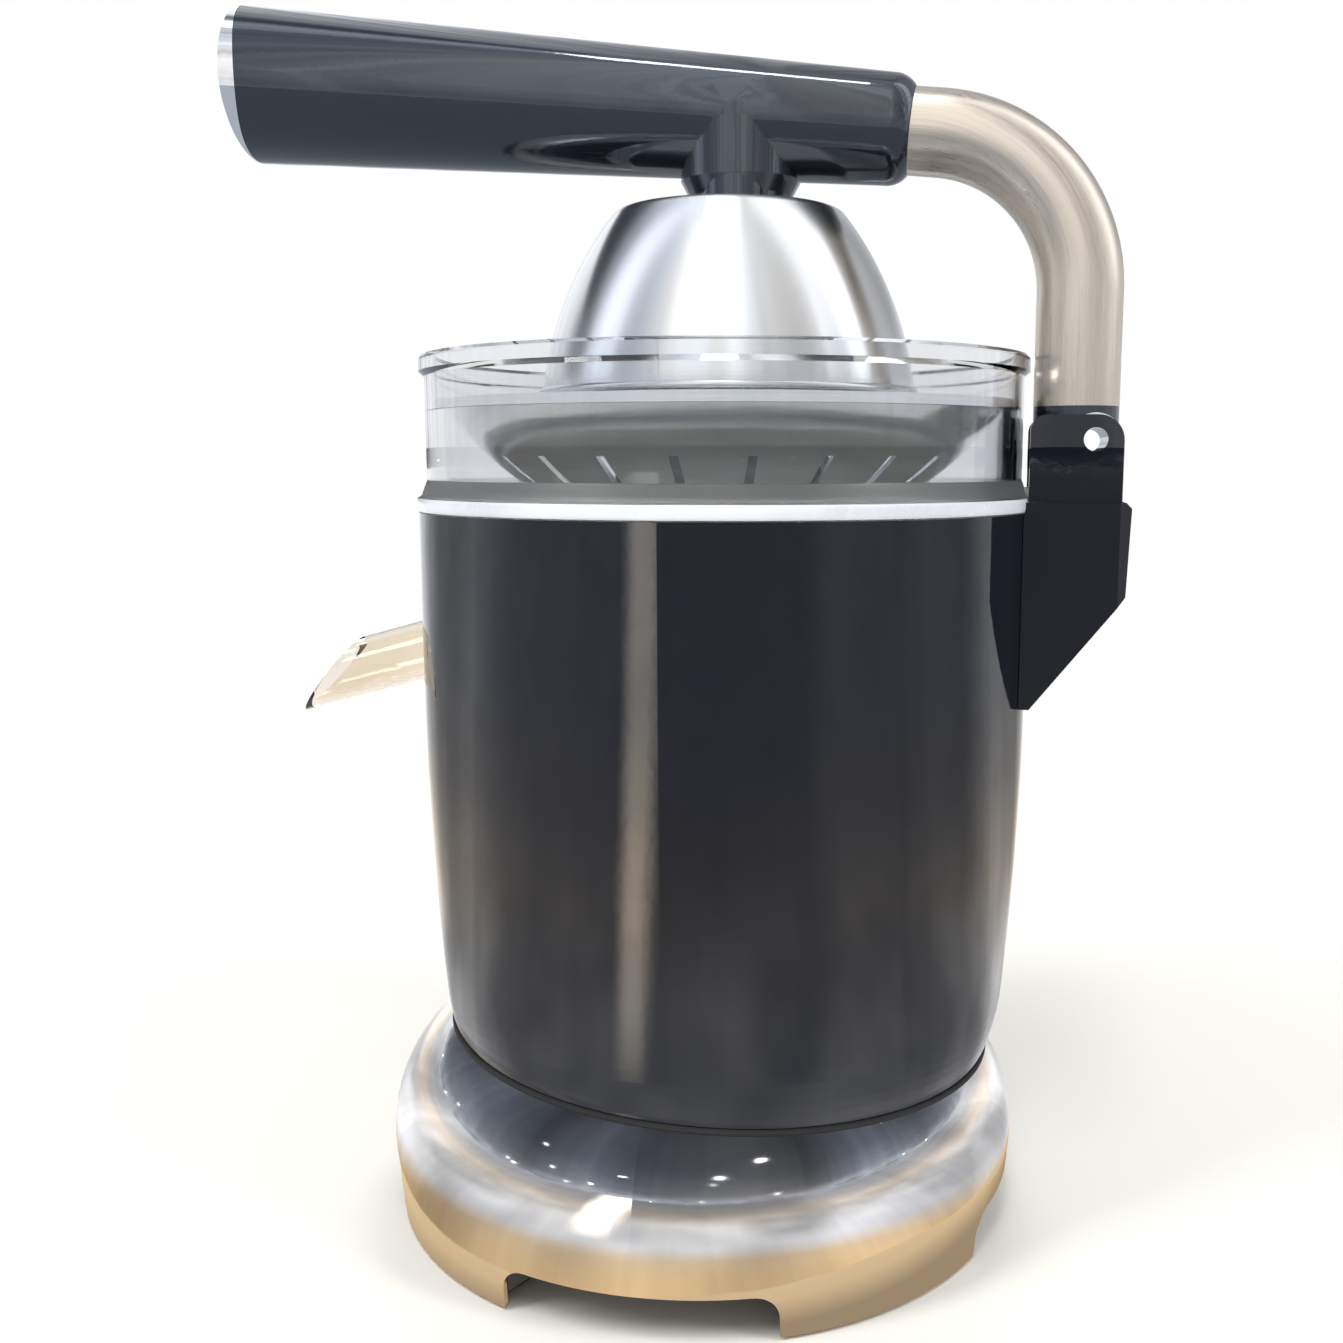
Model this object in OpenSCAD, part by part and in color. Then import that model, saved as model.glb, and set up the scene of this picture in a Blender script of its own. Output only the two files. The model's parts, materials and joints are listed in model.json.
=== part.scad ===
// Electric citrus juicer with a lever press: a drum body on a domed base, a clear bowl
// with a strainer and a reamer, and a hinged arm that carries the pressing dome.
// Millimetres, +Z up. The origin is where the reamer axis meets the table.
// The spout and the free end of the handle point to -Y, and the hinge is at +Y.

/* [Base] */
// Radius of the base where it is widest
base_r = 88.2; // [86:0.2:94]
// Height at which the base is widest
base_widest_z = 22.8; // [21:0.2:26]
// Radius of the rounded shoulder in section
shoulder_r = 35.5; // [34:0.5:37]
// How far the base is set forward of the body axis
base_forward = 6.2; // [3:0.2:8]
// How much the skirt draws in toward its foot
skirt_draw = 2; // [0:0.2:4]
// Thickness of the base shell
base_wall = 2.2; // [1.6:0.1:3]
// Height of the arches between the feet
arch_h = 12.4; // [9:0.2:14]
// Angle that one arch takes up
arch_angle = 47; // [38:1:54]
// Radius of an arch's top corners
arch_corner_r = 6; // [3:0.5:8]
// Height of the skirt's lower edge above the table
skirt_lift = 0.8; // [0.5:0.1:1.5]
// Thickness of the bottom plate
plate_t = 2.4; // [1.8:0.1:3]
// Thickness of the rubber pads
pad_t = 4; // [3:0.5:5]

/* [Body] */
// Outer radius of the body at the top
body_r = 82.5; // [81.5:0.1:85]
// Height of the body's top edge
body_top_z = 194.6; // [192:0.2:200]
// Thickness of the body wall
body_wall = 2.5; // [1.8:0.1:3]
// How much narrower the body is low down
body_taper = 3.9; // [2:0.1:5]
// Thickness of the motor deck
deck_t = 4; // [3:0.5:5]

/* [Bowl and spout] */
// Height of the bowl wall above the body
bowl_h = 40.4; // [38:0.2:46]
// How far the clear bowl wall is set in from the body's side
bowl_inset = 2.3; // [1.9:0.1:3.5]
// Wall of the bowl
bowl_wall = 2.2; // [1.6:0.1:2.8]
// How far the lip stands out from the wall
lip_out = 1.5; // [0.5:0.1:1.6]
// Height of the lip
lip_h = 4; // [3:0.5:6]
// Height of the flange that rests on the body
flange_h = 4.4; // [3:0.2:6]
// Room between the body's wall and the drum that hangs in it
drum_play = 4.5; // [4:0.1:6]
// Height of the bowl floor's underside
floor_z = 148.5; // [147:0.5:152]
// Outer radius of the spout tube
spout_r = 8.3; // [7:0.1:9.5]
// Wall of the spout tube
spout_wall = 1.8; // [1.4:0.1:2.2]
// Slope of the spout below level
spout_slope = 15.3; // [10:0.1:18]
// Length of the spout's underside outside the body
spout_len = 48; // [42:0.5:54]

/* [Strainer and reamer] */
// Height of the strainer rim's underside
strainer_z = 221; // [218:0.5:224]
// How far the side of the strainer's dish sags below a straight cone
strainer_sag = 2.2; // [0:0.1:3]
// Radius where the side of the strainer's dish ends
strainer_dish_r = 49.8; // [46:0.2:54]
// Number of slots in the strainer
slot_count = 22; // [16:1:28]
// Width of a strainer slot
slot_w = 2.2; // [1.4:0.1:3]
// Radius of the reamer's foot
reamer_r = 31; // [28:0.5:33]
// Height of the reamer's ribbed cone
reamer_h = 55; // [48:0.5:58]
// Number of ribs on the reamer
rib_count = 10; // [8:1:14]

/* [Press dome] */
// Outer radius of the dome at its rim
dome_r = 50.2; // [47:0.2:54]
// Height of the dome's rim above the table
dome_z = 224.7; // [223:0.2:229]
// Height on the dome's side where its round shoulder starts
dome_side_h = 47.6; // [45:0.1:49]
// Thickness of the dome
dome_wall = 1.4; // [1:0.1:2]
// Radius of the neck where it meets the dome
neck_r = 13.8; // [12:0.1:15]
// How far the neck is set back from the dome's axis
neck_back = 4.5; // [2:0.1:6]
// How far the dome's axis lies behind the reamer's axis
dome_back = 1.2; // [0:0.1:2]

/* [Handle and arm] */
// Radius of the arm tube
arm_r = 11; // [10.5:0.1:11.4]
// Wall of the arm tube
arm_wall = 1.5; // [1.2:0.1:2]
// Room between the bowl's lip and the upright part of the arm
arm_clear = 0.9; // [0.7:0.1:2]
// Radius of the arm's bend
bend_r = 41; // [38:0.5:42]
// Distance of the grip's rear end from the reamer axis
grip_y = 51; // [49:0.5:53]
// Height of the grip's axis at its rear end
grip_z = 292.7; // [290:0.1:296]
// Rise of the grip toward its free end
grip_tilt = 6; // [5:0.1:8]
// Radius of the grip at its rear end
grip_rear_r = 14; // [13.5:0.1:15]
// Radius of the grip at its free end
grip_front_r = 20.7; // [19:0.1:23]
// Length of the grip to the cap's seam, on its axis
grip_len = 185.3; // [170:0.1:200]
// Slant of the cap's seam
seam_slant = 6.7; // [4:0.1:12]
// How far the cap's seam is set back on the grip's sides
seam_sag = 4; // [2:0.1:5]
// How far the end cap bulges
cap_bulge = 7; // [5:0.1:9]

/* [Hinge] */
// How far the hinge pin is set back from the arm's axis
hinge_back = 4.4; // [4:0.1:5.4]
// Height of the hinge pin
hinge_z = 213.4; // [213.2:0.1:216]
// Radius of the hollow hinge pin
pin_r = 4.5; // [4:0.1:5]
// Radius of the hole through the hinge pin
pin_bore_r = 3; // [2:0.1:3.2]
// Thickness of one ear
ear_t = 3.3; // [2.5:0.1:4]
// Half of the room between the ears
ear_gap = 12; // [11.9:0.1:13]
// Half width of the rear bracket
bracket_half_w = 18; // [17:0.5:20]

/* [Drive] */
// Gear module
gear_module = 1.25; // [1.2:0.01:1.28]
// Teeth of each pinion
pinion_teeth = 12; // [12:1:12]
// Teeth of each large gear
wheel_teeth = 36; // [36:1:36]
// Face width of the gears
gear_w = 8; // [6:0.5:9]
// Radius of the drive shaft
shaft_r = 4; // [3.5:0.1:4.5]
// Travel of the reamer that starts the motor
start_travel = 2; // [1:0.1:2.5]

/* [Motor] */
// Outer radius of the motor
motor_r = 44; // [42:0.5:46]
// Height of the laminated stack
stack_h = 28; // [24:0.5:30]
// Height of each motor end bell
bell_h = 9.5; // [9:0.5:11]
// Radius of the rotor
rotor_r = 20.9; // [19:0.1:22]
// Radius of the motor shaft
motor_shaft_r = 3; // [2.5:0.1:3.5]

/* [Fits] */
// Radial clearance of a running fit
run_fit = 0.04; // [0.02:0.01:0.08]
// Radial clearance of a pressed fit
press_fit = 0.01; // [0.01:0.01:0.02]
// Gap between neighbours that don't touch
gap = 0.3; // [0.2:0.05:0.5]

/* [Hidden] */
$fn = 96;

// A margin that lets a cut run clean through a face
through = 1;

// Base heights and radii
shoulder_cr = base_r - shoulder_r;
foot_r = base_r - skirt_draw;
base_top_z = base_widest_z + shoulder_r;
plate_z = arch_h + 1.2;
plate_top_z = plate_z + plate_t;
skirt_in_r = foot_r - base_wall;
foot_half_angle = 45 - arch_angle / 2 - 1;
foot_in_r = skirt_in_r - 14;
pad_socket = 1;
base_boss_r = 4.5;
base_boss_at = skirt_in_r - 26;
base_screw_len = 12;
cable_hole_r = 30;
grommet_at = skirt_in_r - 22;
grommet_r = 7;
grommet_rim_t = 2;
cord_r = 3.5;
terminal_pitch = 12;
terminal_size = [3 * terminal_pitch, terminal_pitch, 14];
terminal_y = grommet_at - 26;
terminal_well_r = 3;
terminal_well_z = 6;

// Motor and gear stack, upward from the top of the base
stack_z = base_top_z + bell_h;
upper_bell_z = stack_z + stack_h;
case_z = upper_bell_z + bell_h;
case_floor_t = 2.7;
case_floor_z = case_z + case_floor_t;
wheel_z = case_floor_z + 1.5;
pinion_z = wheel_z - 0.5;
output_z = wheel_z + gear_w + start_travel + 1.5;
finger_t = 3;
deck_z = output_z + gear_w + 6 + finger_t;
deck_top_z = deck_z + deck_t;
finger_z = deck_z - gap - finger_t;

// Gear geometry: stub teeth, so that the small pinions are not undercut
pressure_angle = 20;
addendum = 0.75 * gear_module;
dedendum = gear_module;
backlash = 0.16;
pinion_pitch_r = gear_module * pinion_teeth / 2;
wheel_pitch_r = gear_module * wheel_teeth / 2;
idler_x = pinion_pitch_r + wheel_pitch_r;
axle_r = 2.5;

// Gear case: a slot-shaped cup round both gear axes and the switch
case_in_r = wheel_pitch_r + addendum + 2;
case_wall = 2.5;
case_out_r = case_in_r + case_wall;
case_left_x = -16;
case_boss_r = 4;
case_boss_y = case_out_r + 2.5;
case_screw_len = deck_t + 10;
deck_screw_len = deck_t + 4.5;

// Start switch and its finger
switch_size = [6.4, 20, 10.6];
switch_x = -33;
button_h = 1.1;
switch_top_z = finger_z - start_travel - 0.1 - button_h;

// Bowl, chimney and seal
bowl_top_z = body_top_z + bowl_h;
bowl_r = body_r - bowl_inset;
bowl_in_r = bowl_r - bowl_wall;
drum_r = body_r - body_wall - drum_play;
drum_in_r = drum_r - bowl_wall;
floor_top_z = floor_z + bowl_wall;
chimney_in_r = 12;
chimney_r = chimney_in_r + bowl_wall;
chimney_top_z = body_top_z - 6.6;
flange_r = body_r;
tab_y = flange_r + 1.8;
lip_r = bowl_r + lip_out;
strainer_rim_r = bowl_in_r - gap;
strainer_t = 1.2;
strainer_rim_h = 2.5;
strainer_edge_r = strainer_rim_r - 3;
strainer_dish_z = body_top_z + 4.4;
strainer_flat_r = 22;
strainer_flat_z = chimney_top_z + 1.5;

// Spout frame: its axis starts on the drum wall and slopes down to the front
spout_axis_z = 157.2 - 148.5 + floor_z;
stub_len = 5;
seal_t = 1.5;
spout_start = stub_len + seal_t;
window_r = spout_r + gap;

// Reamer, shaft and sleeve
reamer_z = strainer_dish_z - 0.5;
reamer_foot_t = 2.5;
shaft_top_z = reamer_z + 15.5;
shaft_z = output_z;
sleeve_r = shaft_r + 1;
sleeve_top_z = deck_top_z + 29;
sleeve_flange_t = 3;
sleeve_flange_r = sleeve_r + 3;
collar_t = 3;
drive_pin_r = 1.5;
drive_pin_half = 7;
drive_pin_z = reamer_z + 7.5;
skirt_top_r = chimney_r + 2.6;

// Dome, neck and grip
dome_reach = 65;
dome_power = 1.57;
dome_round = 4;
dome_fall = dome_power / 2 * pow(dome_side_h / dome_reach, dome_power) / dome_side_h;
dome_edge_r = dome_side_r(dome_r, dome_side_h);
dome_edge_angle = atan(dome_fall * dome_r * dome_r / dome_edge_r);
dome_h = dome_side_h + dome_round * (1 - sin(dome_edge_angle));
dome_top_z = dome_z + dome_h;
dome_screw_r = 2.5;
grip_slope = (grip_front_r - grip_rear_r) / grip_len;
grip_round = 7;
grip_socket = 28;
neck_bush_r = 8;
neck_bush_len = 20;
neck_flare = 2.2;
neck_foot_h = 3.6;
neck_flare_h = neck_foot_h + 4;
neck_post_r = 9;
neck_axis_z = grip_z + (grip_y - neck_back) * tan(grip_tilt);
neck_post_out = grip_rear_r + grip_slope * (grip_y - neck_back) / cos(grip_tilt) + 0.1;
dome_screw_len = 29;
seam_r = (pow(grip_front_r, 2) + pow(seam_sag, 2)) / (2 * seam_sag);
cap_rim = 0.6;
cap_plug_r = 10;
cap_plug_len = 14;

// Arm and hinge, placed from the bowl's lip
arm_y = lip_r + arm_clear + arm_r;
hinge_y = arm_y + hinge_back;
// Arm bend: where the sloping run and the upright run of the tube meet
bend_angle = 90 - grip_tilt;
// A hair of overlap, in degrees, that joins the bend to its straight runs
bend_lap = 0.01;
bend_z = grip_z - (bend_r - (bend_r - (arm_y - grip_y)) * sin(grip_tilt)) / cos(grip_tilt);
knuckle_r = 6.8;
knuckle_half_w = ear_gap - 1;
arm_foot_z = hinge_z + 8.6;
spigot_r = arm_r - arm_wall - 0.1;
spigot_len = 24;
bush_r = pin_r + 1;
bush_flange_r = knuckle_r;
bush_flange_t = 0.8;
rivet_r = 2;
rivet_z = arm_foot_z + spigot_len / 2;

// Rear bracket outline
bracket_top_z = hinge_z - 15.9;
bracket_rear_y = hinge_y + 9.5;
bracket_low_z = body_top_z - 50.4;
bracket_knee_z = body_top_z - 21;
bracket_screw_off = 8;
ear_top_z = hinge_z + 6.2;
ear_front_y = flange_r - 0.7;
ear_rear_y = hinge_y + 7;
web_y = hinge_y + 4;
web_top_z = hinge_z - 8;
heel_low_z = hinge_z - 14.4;

// Points on an arc about a centre, from one angle to another
function arc(c, r, a0, a1, n = 14) =
    [for (i = [0:n]) c + r * [cos(a0 + (a1 - a0) * i / n), sin(a0 + (a1 - a0) * i / n)]];

// Outer radius of the body at a height: straight above, tapered and tucked in below
body_taper_z = body_top_z - 44.6;
body_tuck_z = base_top_z + 6;
body_low_z = base_top_z - 18;
function body_radius(z) =
    body_r
    - body_taper * pow(max(0, body_taper_z - z) / (body_taper_z - body_tuck_z), 2)
    - 2.7 * pow(max(0, body_tuck_z - z) / 18.5, 2);

// Points of the body's side, from the bottom up
function body_side(grow, n = 14) = concat(
    [for (i = [0:n]) let (z = body_low_z + (body_taper_z - body_low_z) * i / n) [body_radius(z) + grow, z]],
    [[body_r + grow, body_top_z]]);

// Radius of the dome's side at a height, for a foot radius
function dome_side_r(r, h) = r * sqrt(1 - pow(h / dome_reach, dome_power));

// Points of the dome's side and round shoulder, drawn in by an inset
function dome_profile(inset, n) = concat(
    [for (i = [0:n - 1]) let (h = dome_side_h * i / n) [dome_side_r(dome_r, h) - inset, h]],
    arc([dome_edge_r - dome_round * cos(dome_edge_angle), dome_h - dome_round],
        dome_round - inset, dome_edge_angle, 90, 8));

// Radius of the reamer's core above its foot
function reamer_radius(h) = reamer_r * (1 - pow(h / reamer_h, 1.7)) * 0.86 + 1.2;

// Flank angle of an involute at a radius
function involute_angle(rb, r) = let (a = acos(min(1, rb / r))) tan(a) * 180 / PI - a;

// Outline of an involute gear with a tooth on the +X axis
function gear_outline(teeth, n = 5) =
    let (r = gear_module * teeth / 2,
         rb = r * cos(pressure_angle),
         tip = r + addendum,
         root = r - dedendum,
         start = max(root, rb),
         half = 90 / teeth - backlash / 2 / r * 180 / PI + involute_angle(rb, r),
         flank = [for (i = [0:n]) let (q = start + (tip - start) * i / n) [q, half - involute_angle(rb, q)]],
         side = concat([[root, half]], root < rb ? flank : [for (i = [1:n]) flank[i]]))
    [for (k = [0:teeth - 1]) let (a = 360 * k / teeth)
        each concat(
            [for (p = side) p[0] * [cos(a - p[1]), sin(a - p[1])]],
            [for (i = [len(side) - 1:-1:0]) side[i][0] * [cos(a + side[i][1]), sin(a + side[i][1])]])];

// Points of a round wire swept along a helix, as rings of six
function helix_ring(r, pitch, wire, a) =
    let (c = [r * cos(a), r * sin(a), pitch * a / 360])
    [for (k = [0:5]) c + wire * cos(60 * k) * [cos(a), sin(a), 0] + wire * sin(60 * k) * [0, 0, 1]];

module helix_wire(r, pitch, wire, turns, steps) {
    rings = [for (i = [0:turns * steps]) helix_ring(r, pitch, wire, 360 * i / steps)];
    last = len(rings) - 1;
    polyhedron(
        points = [for (ring = rings) each ring],
        faces = concat(
            [[0, 1, 2, 3, 4, 5]],
            [for (i = [0:last - 1]) for (k = [0:5])
                each [[i * 6 + k, i * 6 + 6 + k, i * 6 + (k + 1) % 6],
                      [i * 6 + (k + 1) % 6, i * 6 + 6 + k, i * 6 + 6 + (k + 1) % 6]]],
            [[for (k = [5:-1:0]) last * 6 + k]]));
}

module ring(r_out, r_in, h) {
    difference() {
        cylinder(r = r_out, h = h);
        translate([0, 0, -through]) cylinder(r = r_in, h = h + 2 * through);
    }
}

// A piece of a ring, centred on an azimuth
module ring_sector(r_out, r_in, h, azimuth, half_angle) {
    rotate([0, 0, azimuth - half_angle])
        rotate_extrude(angle = 2 * half_angle)
            translate([r_in, 0]) square([r_out - r_in, h]);
}

// Children repeated round the Z axis
module around(count, radius, first = 0) {
    for (i = [0:count - 1])
        rotate([0, 0, first + 360 * i / count]) translate([radius, 0, 0]) children();
}

// A pan-head screw: shank down from z = 0, head above, with a driver slot
module screw(r, len, head_r, head_h) {
    difference() {
        union() {
            translate([0, 0, -len]) cylinder(r = r, h = len, $fn = 32);
            cylinder(r = head_r, h = head_h, $fn = 32);
        }
        translate([-head_r - through, -r / 4, head_h * 0.55])
            cube([2 * (head_r + through), r / 2, head_h]);
    }
}

module on_base() {
    translate([0, -base_forward, 0]) children();
}

// Frame of the spout: local Z runs outward and down along its axis, local Y points up
module on_spout() {
    translate([0, -drum_r, spout_axis_z]) rotate([90 + spout_slope, 0, 0]) children();
}

// Frame of the grip: local Z runs from its rear end to its free end, local Y points up
module on_grip() {
    translate([0, grip_y, grip_z]) rotate([90 - grip_tilt, 0, 0]) children();
}

// Frame of the bend: local X runs to the rear and local Y up
module on_bend() {
    translate([0, arm_y - bend_r, bend_z]) rotate([90, 0, 90]) children();
}

// A cylinder along X, centred
module cross_bar(r, half) {
    rotate([0, 90, 0]) cylinder(r = r, h = 2 * half, center = true);
}

// An outline in the Y-Z plane, given some width along X
module side_plate(x0, x1) {
    translate([x0, 0, 0]) rotate([90, 0, 90]) linear_extrude(x1 - x0) children();
}

// Half section of the base above a height, drawn in by an inset: a skirt that runs into a round shoulder
module base_section(inset, low) {
    r = shoulder_r - inset;
    foot = [foot_r - inset - shoulder_cr, skirt_lift - base_widest_z];
    touch_angle = atan2(foot[1], foot[0]) + acos(r / norm(foot));
    touch = [shoulder_cr, base_widest_z] + r * [cos(touch_angle), sin(touch_angle)];
    bottom = min(low, skirt_lift);
    intersection() {
        union() {
            polygon([
                [0, bottom], [foot_r - inset, bottom], [foot_r - inset, skirt_lift], touch,
                [shoulder_cr, base_widest_z], [shoulder_cr, base_top_z - inset], [0, base_top_z - inset]]);
            intersection() {
                translate([shoulder_cr, base_widest_z]) circle(r = r);
                translate([0, touch[1]]) square(2 * base_r);
            }
        }
        translate([0, low]) square(2 * base_r);
    }
}

module base_solid(grow) {
    on_base() rotate_extrude() base_section(-grow, skirt_lift);
}

module base_arches() {
    w = 2 * foot_r * sin(arch_angle / 2);
    for (a = [0:90:270])
        rotate([0, 0, a]) translate([foot_in_r, 0, 0]) rotate([90, 0, 90])
            linear_extrude(base_r)
                polygon(concat(
                    [[-w / 2, -through], [w / 2, -through]],
                    arc([w / 2 - arch_corner_r, arch_h - arch_corner_r], arch_corner_r, 0, 90, 8),
                    arc([-w / 2 + arch_corner_r, arch_h - arch_corner_r], arch_corner_r, 90, 180, 8)));
}

module base_shell() {
    color("gainsboro")
        difference() {
            union() {
                on_base() difference() {
                    rotate_extrude() base_section(0, skirt_lift);
                    rotate_extrude() base_section(base_wall, skirt_lift - through);
                    base_arches();
                }
                on_base() intersection() {
                    rotate_extrude() base_section(base_wall / 2, plate_top_z);
                    around(4, base_boss_at, 45) cylinder(r = base_boss_r, h = base_top_z, $fn = 32);
                }
            }
            on_base() around(4, base_boss_at, 45)
                translate([0, 0, plate_top_z - through]) cylinder(r = 1.5 + press_fit, h = 14, $fn = 32);
            translate([0, 0, base_top_z - 2 * base_wall]) cylinder(r = cable_hole_r, h = 3 * base_wall);
            motor_bolt_holes(2 + gap);
        }
}

module motor_bolt_holes(r) {
    around(4, motor_r - 4, 0)
        translate([0, 0, base_top_z - 2 * base_wall])
            cylinder(r = r, h = case_z - base_top_z + 3 * base_wall, $fn = 32);
}

module base_plate() {
    color("dimgray")
        on_base() difference() {
            union() {
                translate([0, 0, plate_z]) cylinder(r = skirt_in_r - gap, h = plate_t);
                for (a = [45:90:315])
                    translate([0, 0, pad_t - pad_socket])
                        ring_sector(skirt_in_r - 2 * gap, foot_in_r,
                                    plate_z + plate_t / 2 - pad_t + pad_socket, a, foot_half_angle);
            }
            for (a = [45:90:315])
                translate([0, 0, -through])
                    ring_sector(skirt_in_r - 2 - gap, foot_in_r + 2, pad_t + through, a, foot_half_angle - 2);
            around(4, base_boss_at, 45) cylinder(r = 1.5 + gap, h = base_top_z, $fn = 32);
            translate([0, grommet_at, 0]) cylinder(r = grommet_r - 1.5, h = base_top_z, $fn = 48);
        }
}

module foot_pads() {
    color("black")
        on_base() for (a = [45:90:315])
            ring_sector(skirt_in_r - 2 - 2 * gap, foot_in_r + 2 + gap, pad_t, a, foot_half_angle - 2.3);
}

module base_screws() {
    color("silver")
        on_base() around(4, base_boss_at, 45)
            translate([0, 0, plate_z]) mirror([0, 0, 1]) screw(1.5, base_screw_len, 3, 2);
}

module cord_grommet() {
    color("black")
        on_base() translate([0, grommet_at, plate_z - grommet_rim_t]) difference() {
            union() {
                cylinder(r = grommet_r, h = grommet_rim_t, $fn = 48);
                cylinder(r = grommet_r - 1.5 - press_fit, h = plate_t + 2 * grommet_rim_t, $fn = 48);
                translate([0, 0, plate_t + grommet_rim_t])
                    cylinder(r = grommet_r, h = grommet_rim_t, $fn = 48);
            }
            translate([0, 0, -through])
                cylinder(r = cord_r, h = plate_t + 2 * grommet_rim_t + 2 * through, $fn = 48);
        }
}

module terminal_block() {
    color("ivory")
        on_base() translate([-terminal_size[0] / 2, terminal_y, plate_top_z]) difference() {
            cube(terminal_size);
            for (i = [0:2])
                translate([terminal_pitch * (i + 0.5), terminal_size[1] / 2, terminal_well_z])
                    cylinder(r = terminal_well_r, h = terminal_size[2], $fn = 32);
        }
}

module body_shell() {
    ledge_z = deck_z - 6;
    color("midnightblue")
        difference() {
            union() {
                difference() {
                    rotate_extrude() polygon(concat([[0, body_low_z]], body_side(0, 36), [[0, body_top_z]]));
                    rotate_extrude()
                        polygon(concat([[0, body_low_z - through]],
                                       [[body_radius(body_low_z) - body_wall, body_low_z - through]],
                                       body_side(-body_wall),
                                       [[body_r - body_wall, body_top_z + through],
                                        [0, body_top_z + through]]));
                }
                intersection() {
                    translate([0, 0, ledge_z]) ring(body_r, drum_r - 4, 6);
                    rotate_extrude()
                        polygon(concat([[0, body_low_z]], body_side(-body_wall / 2), [[0, body_top_z]]));
                }
            }
            base_solid(gap / 2);
            on_spout() translate([0, 0, -through]) cylinder(r = window_r, h = 30, $fn = 64);
            around(4, drum_r - 0.5, 45)
                translate([0, 0, ledge_z - through]) cylinder(r = 1.5 + press_fit, h = 8, $fn = 32);
            bracket_screw_holes(2 + gap);
        }
}

// Holes of the two screws that hold the rear bracket, along Y
module bracket_screw_holes(r) {
    for (z = [bracket_knee_z - bracket_screw_off, bracket_knee_z + bracket_screw_off])
        translate([0, body_r - 10, z]) rotate([-90, 0, 0]) cylinder(r = r, h = 24, $fn = 32);
}

module motor_deck() {
    color("darkslategray")
        difference() {
            translate([0, 0, deck_z]) cylinder(r = body_radius(deck_z) - body_wall - gap, h = deck_t);
            translate([0, 0, deck_z - through]) cylinder(r = sleeve_r + run_fit, h = deck_t + 2 * through);
            around(4, drum_r - 0.5, 45)
                translate([0, 0, deck_z - through])
                    cylinder(r = 1.5 + gap, h = deck_t + 2 * through, $fn = 32);
            for (x = [case_left_x, idler_x], y = [-case_boss_y, case_boss_y])
                translate([x, y, deck_z - through])
                    cylinder(r = 1.5 + gap, h = deck_t + 2 * through, $fn = 32);
            translate([idler_x, 0, deck_z - through])
                cylinder(r = axle_r + press_fit, h = 2 + through, $fn = 48);
        }
}

module deck_screws() {
    color("silver")
        around(4, drum_r - 0.5, 45) translate([0, 0, deck_top_z]) screw(1.5, deck_screw_len, 2.8, 2);
}

// Slot-shaped outline round the gear axes, as a solid
module case_block(r, h) {
    translate([case_left_x, 0, 0]) cylinder(r = r, h = h);
    translate([idler_x, 0, 0]) cylinder(r = r, h = h);
    translate([case_left_x, -r, 0]) cube([idler_x - case_left_x, 2 * r, h]);
}

module gear_case() {
    post_h = switch_top_z - switch_size[2] - case_floor_z;
    color("slategray") {
        difference() {
            union() {
                translate([0, 0, case_z]) case_block(case_out_r, deck_z - case_z);
                for (x = [case_left_x, idler_x], y = [-case_boss_y, case_boss_y])
                    translate([x, y, case_z]) cylinder(r = case_boss_r, h = deck_z - case_z, $fn = 32);
            }
            translate([0, 0, case_floor_z]) case_block(case_in_r, deck_z);
            translate([0, 0, case_z - through]) cylinder(r = motor_shaft_r + gap, h = 6, $fn = 48);
            translate([idler_x, 0, case_z + 0.5]) cylinder(r = axle_r + press_fit, h = 6, $fn = 48);
            for (x = [case_left_x, idler_x], y = [-case_boss_y, case_boss_y])
                translate([x, y, deck_z - 12]) cylinder(r = 1.5 + press_fit, h = 13, $fn = 32);
            around(4, motor_r - 4, 0)
                translate([0, 0, case_z - through]) cylinder(r = 3.6 + gap, h = 2 + through, $fn = 32);
        }
        translate([switch_x - switch_size[0] / 2, -switch_size[1] / 2, case_floor_z - 0.5])
            cube([switch_size[0], switch_size[1], post_h + 0.5]);
    }
}

module case_screws() {
    color("silver")
        for (x = [case_left_x, idler_x], y = [-case_boss_y, case_boss_y])
            translate([x, y, deck_top_z]) screw(1.5, case_screw_len, 2.8, 2);
}

module micro_switch() {
    color("darkred")
        translate([switch_x, 0, switch_top_z - switch_size[2]]) {
            translate([-switch_size[0] / 2, -switch_size[1] / 2, 0]) cube(switch_size);
            translate([-1.5, -2, switch_size[2] - 0.5]) cube([3, 4, button_h + 0.5]);
        }
}

module idler_axle() {
    color("silver")
        translate([idler_x, 0, case_z + 0.5]) cylinder(r = axle_r, h = deck_z + 2 - case_z - 0.5, $fn = 48);
}

module motor_stator() {
    color("gray")
        difference() {
            translate([0, 0, stack_z]) ring(motor_r, rotor_r + 0.4, stack_h);
            motor_bolt_holes(2 + gap);
        }
}

module motor_windings() {
    coil_h = bell_h - 5;
    color("sienna") {
        translate([0, 0, stack_z - coil_h]) ring(motor_r - 8, rotor_r + 3, coil_h);
        translate([0, 0, upper_bell_z]) ring(motor_r - 8, rotor_r + 3, coil_h);
    }
}

// One end bell, with its disc at z = 0 and its rim upward
module bell() {
    disc_t = 4;
    difference() {
        union() {
            cylinder(r = motor_r, h = disc_t);
            ring(motor_r, motor_r - 7.5, bell_h);
            cylinder(r = 9, h = disc_t + 2);
        }
        translate([0, 0, -through]) cylinder(r = 6, h = bell_h, $fn = 48);
    }
}

module motor_lower_bell() {
    color("dimgray")
        difference() {
            translate([0, 0, base_top_z]) bell();
            motor_bolt_holes(2 + gap);
        }
}

module motor_upper_bell() {
    color("dimgray")
        difference() {
            translate([0, 0, case_z]) mirror([0, 0, 1]) bell();
            motor_bolt_holes(2 + gap);
        }
}

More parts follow.
